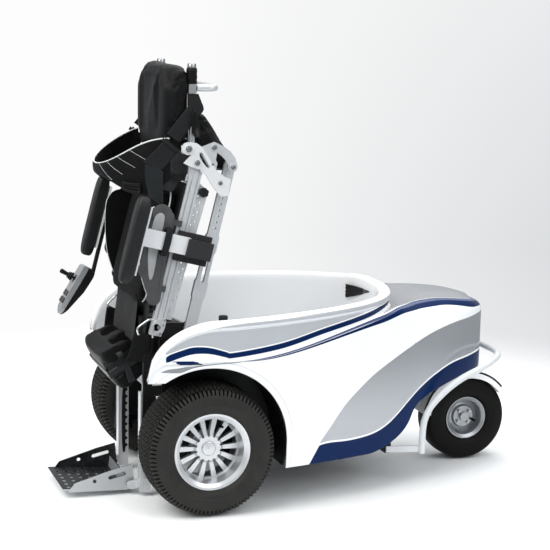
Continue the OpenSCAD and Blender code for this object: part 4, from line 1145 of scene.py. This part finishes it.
def ribbon(name, left, right, thick, mat, body, s=1, n=50):
    """A strip of cloth or webbing between two edges, points in millimetres from the front axle, mirrored
    for s = -1."""
    l, r = (smooth_path(np.array(e, float) * (s, 1, 1), n)[:, None] for e in (left, right))
    k = np.linspace(0, 1, 14)[None, :, None]
    mid = l + (r - l) * k
    normal = np.cross(np.gradient(mid, axis=0), r - l)
    normal /= np.linalg.norm(normal, axis=2, keepdims=True)
    half = normal * thick / 2 * np.sqrt(np.clip(1 - np.abs(2 * k - 1) ** 8, 0.05, 1))
    p = plain(np.concatenate([mid + half, (mid - half)[:, ::-1]], 1))
    return grid(name, p, mat, body, wrap_v=True, caps=True)


def belt_x(y):
    """Half width of the belt's ellipse at a place along the body."""
    return BELT_X * np.sqrt(1 - np.clip((BELT_END - np.asarray(y, float)) / BELT_REACH, 0, 1) ** 2)


def at_belt(points, off):
    """(y, z) pairs set on the belt's side, off millimetres outside it."""
    return [(float(belt_x(y)) + off, y, z) for y, z in points]


for name, s in SIDES.items():
    flip_a = (lambda a: a) if s > 0 else (lambda a: np.pi - a)
    # Strap from the back tube down to the belt, and the patch that it is sewn to
    fore = [(203, -31, 1267), (203, -31, 1248), (204, -31, 1230), (206, -50, 1206), (208, -74, 1176),
            (209, -97, 1148)]
    aft = [(201, 3, 1267), (203, 12, 1244), (205, 19, 1219), (207, 0, 1195), (209, -28, 1160),
           (210, -58, 1122)]
    o = ribbon(f"back_strap_{name}", fore, aft, 2.4, M["web"], None, s)
    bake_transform(o)
    ribbon(f"belt_patch_{name}", at_belt([(-100, 1136), (-130, 1100), (-166, 1062)], 9),
           at_belt([(-60, 1100), (-84, 1068), (-113, 1035)], 9), 3.0, M["web"], "belt", s)
    ribbon(f"belt_fold_{name}", at_belt([(-108, 1136), (-84, 1117), (-58, 1098)], 12),
           at_belt([(-114, 1126), (-90, 1107), (-64, 1088)], 12), 4.0, M["web"], "belt", s)
    o = ribbon(f"belt_tail_{name}", at_belt([(-161, 1056), (-160, 1010), (-150, 960)], 11),
               at_belt([(-108, 1034), (-108, 985), (-106, 924)], 9), 2.4, M["satin"], None, s)
    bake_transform(o)
    blocks = [belt_block(flip_a(a0), flip_a(a1), u0, u1, 7, o1) for a0, a1, u0, u1, o1 in (
        (0.50, 0.80, -0.98, -0.84, 15), (0.50, 0.80, -0.66, -0.52, 15), (0.50, 0.54, -0.98, -0.52, 13),
        (0.76, 0.80, -0.98, -0.52, 13), (0.52, 0.78, -0.80, -0.70, 12))]
    patches(f"belt_buckle_{name}", blocks, M["black"], "belt")


# Aprons, sleeves and small hardware

def apron(name, half, points, mat, wave):
    """A cloth hung from the seat's lower end down to the knee block, with soft upright folds: a sine
    across, wave millimetres to the radian, that dies out at both ends."""
    x = np.linspace(-half, half, 80)[:, None]
    path = smooth_path(np.c_[np.zeros(len(points)), points], 60)
    fold = 2.5 * np.sin(x / wave + 0.8) * np.sin(np.linspace(0, np.pi, 60))[None] ** 2
    y, z = path[None, :, 1], path[None, :, 2]
    o = grid(name, row(x + 0 * y, y - fold, z + 0 * x), mat, None)
    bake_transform(o)


apron("knee_apron", 140,
      [(-164, 712), (-165, 684), (-166, 648), (-167, 610), (-171, 572), (-177, 528), (-180, 494)],
      M["flap"], 19.0)
apron("seat_lining", 194, [(-142, 640), (-144, 606), (-148, 572), (-156, 534), (-162, 506)],
      M["satin"], 26.0)


def slab(outline, x0, x1, s=1, frame=plain):
    """One plate: a (y, z) outline from x0 to x1 with its corners rounded and its outer edge broken,
    mirrored for s = -1."""
    q = rounded_section(np.array(outline, float)[None], 2)[0]
    mid = q.mean(0)
    layers = ((x0, 1), (x1 - 0.8, 1), (x1, 0.97))
    p = np.stack([np.c_[np.full(len(q), s * x), mid + (q - mid) * k] for x, k in layers])
    return dict(p=frame(p), wrap_v=True, caps=True, flip=s < 0)


def bolt(x, y, z, r, h, s=1):
    """A socket-head bolt whose head stands out of the point (x, y, z) along X."""
    head = [(0, 1.35), (0.14, 1.35), (0.16, 1.0), (0.85, 1.0), (1.0, 0.88), (1.0, 0.52), (0.45, 0.48),
            (0.45, 0.01)]
    return dict(p=spun([(h * a, r * b) for a, b in head], (s * x, y, z), 24, s), wrap_u=True, flip=s < 0)


def upright(profile, x, y, turns=40):
    """A (height, radius) profile in millimetres turned about an upright axis."""
    a = np.linspace(0, 2 * np.pi, turns, endpoint=False)[:, None]
    z, r = np.array(profile, float).T
    return dict(p=row(x + r * np.cos(a), y + r * np.sin(a), z + 0 * a), wrap_u=True)


def on_tube(profile):
    """A (height, radius) profile on each of the two back tubes."""
    return pair(lambda s: upright(profile, s * 184, -14))


inlay = [(-94, 300), (-93, 335), (-80, 349), (-66, 346), (-60, 330), (-58, 230), (-52, 160), (-55, 141),
         (-62, 141), (-72, 165), (-88, 223)]
patches("guard_inlays", pair(lambda s: slab(inlay, 236.4, 238.6, s, on_rail)), M["inlay"], "seat_frame",
        smooth=False)
sleeve = [(1296, 15.5), (1299, 17), (1308, 15.8), (1316, 17.2), (1326, 15.9), (1335, 17), (1344, 15.5),
          (1345, 12)]
patches("tube_sleeves", on_tube(sleeve), M["nylon"], "back_frame")
patches("tube_caps", on_tube([(1344, 13.3), (1355, 13.3), (1357.6, 11.5), (1358, 0.01)]), M["bolt"],
        "back_frame")
clip = [(-14, 1224), (-22, 1196), (-20, 1160), (-16, 1137), (2, 1134), (5, 1165), (-6, 1198)]
patches("strap_clips", [part for s in SIDES.values() for part in (
    slab(clip, 218, 223, s), bolt(196, -14, 1216, 2.4, 23, s))], M["black"], "back_frame")
patches("back_bolts", [bolt(x, y, z, r, 5, s) for s in SIDES.values() for x, y, z, r in (
    (242, -36, 1104, 7.5), (242, -8.6, 1061.6, 6.5), (236, 66, 998, 5), (236, 41, 1056, 2.6),
    (233.8, 107.4, 1045.6, 5.5), (232.8, 47, 1107, 6))], M["bolt"], "back_frame", smooth=False)

# Shiny pads at the hip, behind the ends of the belt, and the guards' black lining, edged with white
lean = np.array([[1, 0, 0], [0, 0.9, 0.44], [0, -0.44, 0.9]]).T
hip = pillow(2, 32, 34, 0.5, 48, 30) @ lean
patches("hip_side_pads", pair(lambda s: dict(p=plain(hip + (s * 197, -88, 1008)), wrap_u=True)), M["satin"],
        "seat_frame")
edge = [(-37, 75), (-56, 93), (-94, 157), (-119, 238), (-133, 302), (-128, 331), (-120, 347), (-100, 360)]
lining = edge + [(-30, 360), (-22, 300), (-22, 90)]
patches("guard_linings", pair(lambda s: slab(lining, 229, 233, s, on_rail)), M["guard"], "seat_frame",
        smooth=False)
rim = smooth_path([(0, *e) for e in edge], 80) * (1, 0.985, 1)
patches("guard_piping", pair(lambda s: dict(p=sweep(on_rail(rim + (s * 231, 0, 0)), ring(0.0016, 8)),
                                            wrap_v=True, caps=True)), M["piping"], "seat_frame")

# Rail ends: a bolted plate, two hooks of bent wire, and the cloth ties that hang in them; then the straps and
# pockets on the knee block, and a strap round each armrest
end_plate = [(-138, 582), (-98, 584), (-100, 562), (-112, 530), (-136, 536)]
patches("rail_end_plates", pair(lambda s: slab(end_plate, 224.2, 227, s)), M["alu"], "seat_frame",
        smooth=False)
patches("rail_end_bolts", [bolt(227, y, z, r, 3, s) for s in SIDES.values() for y, z, r in (
    (-122, 556, 4.5), (-104, 577, 2.4), (-108, 562, 2.4), (-118, 536, 3))], M["bolt"], "seat_frame",
    smooth=False)
for name, s in SIDES.items():
    for k, points in enumerate((
        [(216, -126, 574), (214, -146, 580), (210, -168, 566), (205, -184, 550), (202, -180, 532)],
        [(218, -128, 560), (217, -138, 548), (214, -138, 522)],
    )):
        tube(f"wire_hook_{name}_{k}", np.array(points) * (s, 1, 1), 3.4, M["chrome"], "seat_frame", 40, 14)
    fore = [(204, -186, 548), (192, -194, 524), (178, -203, 474), (154, -211, 438)]
    aft = [(206, -146, 528), (196, -138, 506), (182, -141, 466), (158, -147, 432)]
    o = ribbon(f"knee_tie_{name}", fore, aft, 2.2, M["nylon"], None, s)
    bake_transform(o)
    fore = [(126, -238, 462), (134, -228, 448), (135, -208, 408), (133, -193, 364)]
    aft = [(126, -220, 468), (134, -208, 454), (135, -187, 412), (133, -171, 372)]
    ribbon(f"knee_strap_{name}", fore, aft, 2.6, M["satin"], "chassis", s)
    a = np.linspace(0, 2 * np.pi, 60, endpoint=False)
    p = on_rail(np.stack([s * (257 + 17 * np.cos(a)), -45 + 0 * a, 267 + 43 * np.sin(a)], -1))
    square = (0, math.cos(LEAN), -math.sin(LEAN))
    grid(f"arm_strap_{name}", sweep(np.concatenate([p, p[:1]]), flat(0.022, 0.004), square), M["web"],
         f"arm_{name}", wrap_v=True)
pocket = [(-264, 424), (-228, 440), (-204, 388), (-240, 370)]
patches("knee_pockets", pair(lambda s: slab(pocket, 129, 133.5, s)), M["satin"], "chassis")

# Toothed racks on the foot columns, the cap on the tub's rim and the band round the knee block
tooth = ((-140, 0), (-133, 1), (-133, 7), (-140, 8))
teeth = [(-152, 60), (-140, 60)] + [(y, z + d) for z in range(80, 273, 24) for y, d in tooth]
rack = teeth + [(-140, 290), (-152, 290)]
patches("foot_racks", pair(lambda s: slab(rack, 135.4, 134.2, s)), M["black"], "foot_slide", smooth=False)
cap = [(584, 14), (602, 14), (605, 12.5), (606, 0.01)]
patches("tub_caps", [upright(cap, 330, 52, 32)], M["black"], "chassis")
band = on_knee([(-133, 96, -74), (-134, 40, -74), (-133, 0, -74), (-120, -3, -74), (0, -4, -74),
                (120, -3, -74), (133, 0, -74), (134, 40, -74), (133, 96, -74)])
upwards = on_knee([(0, 0, 1)])[0] - on_knee([(0, 0, 0)])[0]
grid("knee_band", sweep(smooth_path(band, 90), flat(0.026, 0.004), upwards), M["satin"], "chassis",
     wrap_v=True, caps=True)


def seat_piping():
    """White cord sewn round the seat cushion's rim."""
    a = np.linspace(0, 2 * np.pi, 240, endpoint=False)
    x = SEAT_X * power(np.cos(a), SEAT_ROUND)
    z = SEAT_MID + SEAT_Z * power(np.sin(a), SEAT_ROUND)
    p = on_rail(np.stack([x, -44 + 0 * a, z], -1))
    cord = sweep(np.concatenate([p, p[:1]]), ring(0.0022, 10))
    grid("seat_piping", cord, M["piping"], "seat_frame", wrap_v=True)


seat_piping()


def vent():
    """Three-cornered vent in the tub's rear wall, right of the middle: dark slats set in the wall's face.
    Their black is painted shade that stands for the vent's dark opening.
    """
    x = np.linspace(-128, 30, 60)
    share = (x + 128) / 158
    y = np.linspace(300, TUB - 1, 4000)
    wall = np.array([y[np.argmin(np.abs(rim_half(y) - 36 - abs(v)) + (y < 500) * 1e3)] for v in x]) - 36
    z = np.linspace(0, 1, 30)[None]
    low, high = 552 + 46 * share[:, None], 600 + 2 * share[:, None]
    slat = 1.2 * np.sin(z * 24)
    p = row(x[:, None] + 0 * z, wall[:, None] - 2 + slat, low + (high - low) * z)
    # black sheet: painted shade for the dark opening of the vent
    grid("tub_vent", p, M["black"], "chassis")


vent()
# Tyre valves
for name, s in SIDES.items():
    stem = [(s * 352, 40, 265), (s * 372, 42, 268)]
    tube(f"valve_{name}", stem, 4, M["black"], f"front_wheel_{name}", 12, 12)
tube("valve_rear", [(22, 1046, 137), (46, 1053, 134)], 4, M["black"], "rear_wheel", 12, 12)


def guard_edge():
    """Ribbed rubber edge of the rear mudguard, one rib every 5 mm."""
    a = np.radians(np.linspace(40, 168, 1400))
    r = REAR_R + 16.5 + 1.1 * np.sin(a * 165 * 2 * np.pi / 5)
    y, z = REAR_Y + r * np.cos(a), REAR_R + r * np.sin(a)
    patches("mudguard_edge", pair(lambda s: dict(p=sweep(row(s * 57.0, y, z), ring(0.003, 8), (1, 0, 0)),
                                                 wrap_v=True, caps=True)), M["black"], "steering_fork")


guard_edge()
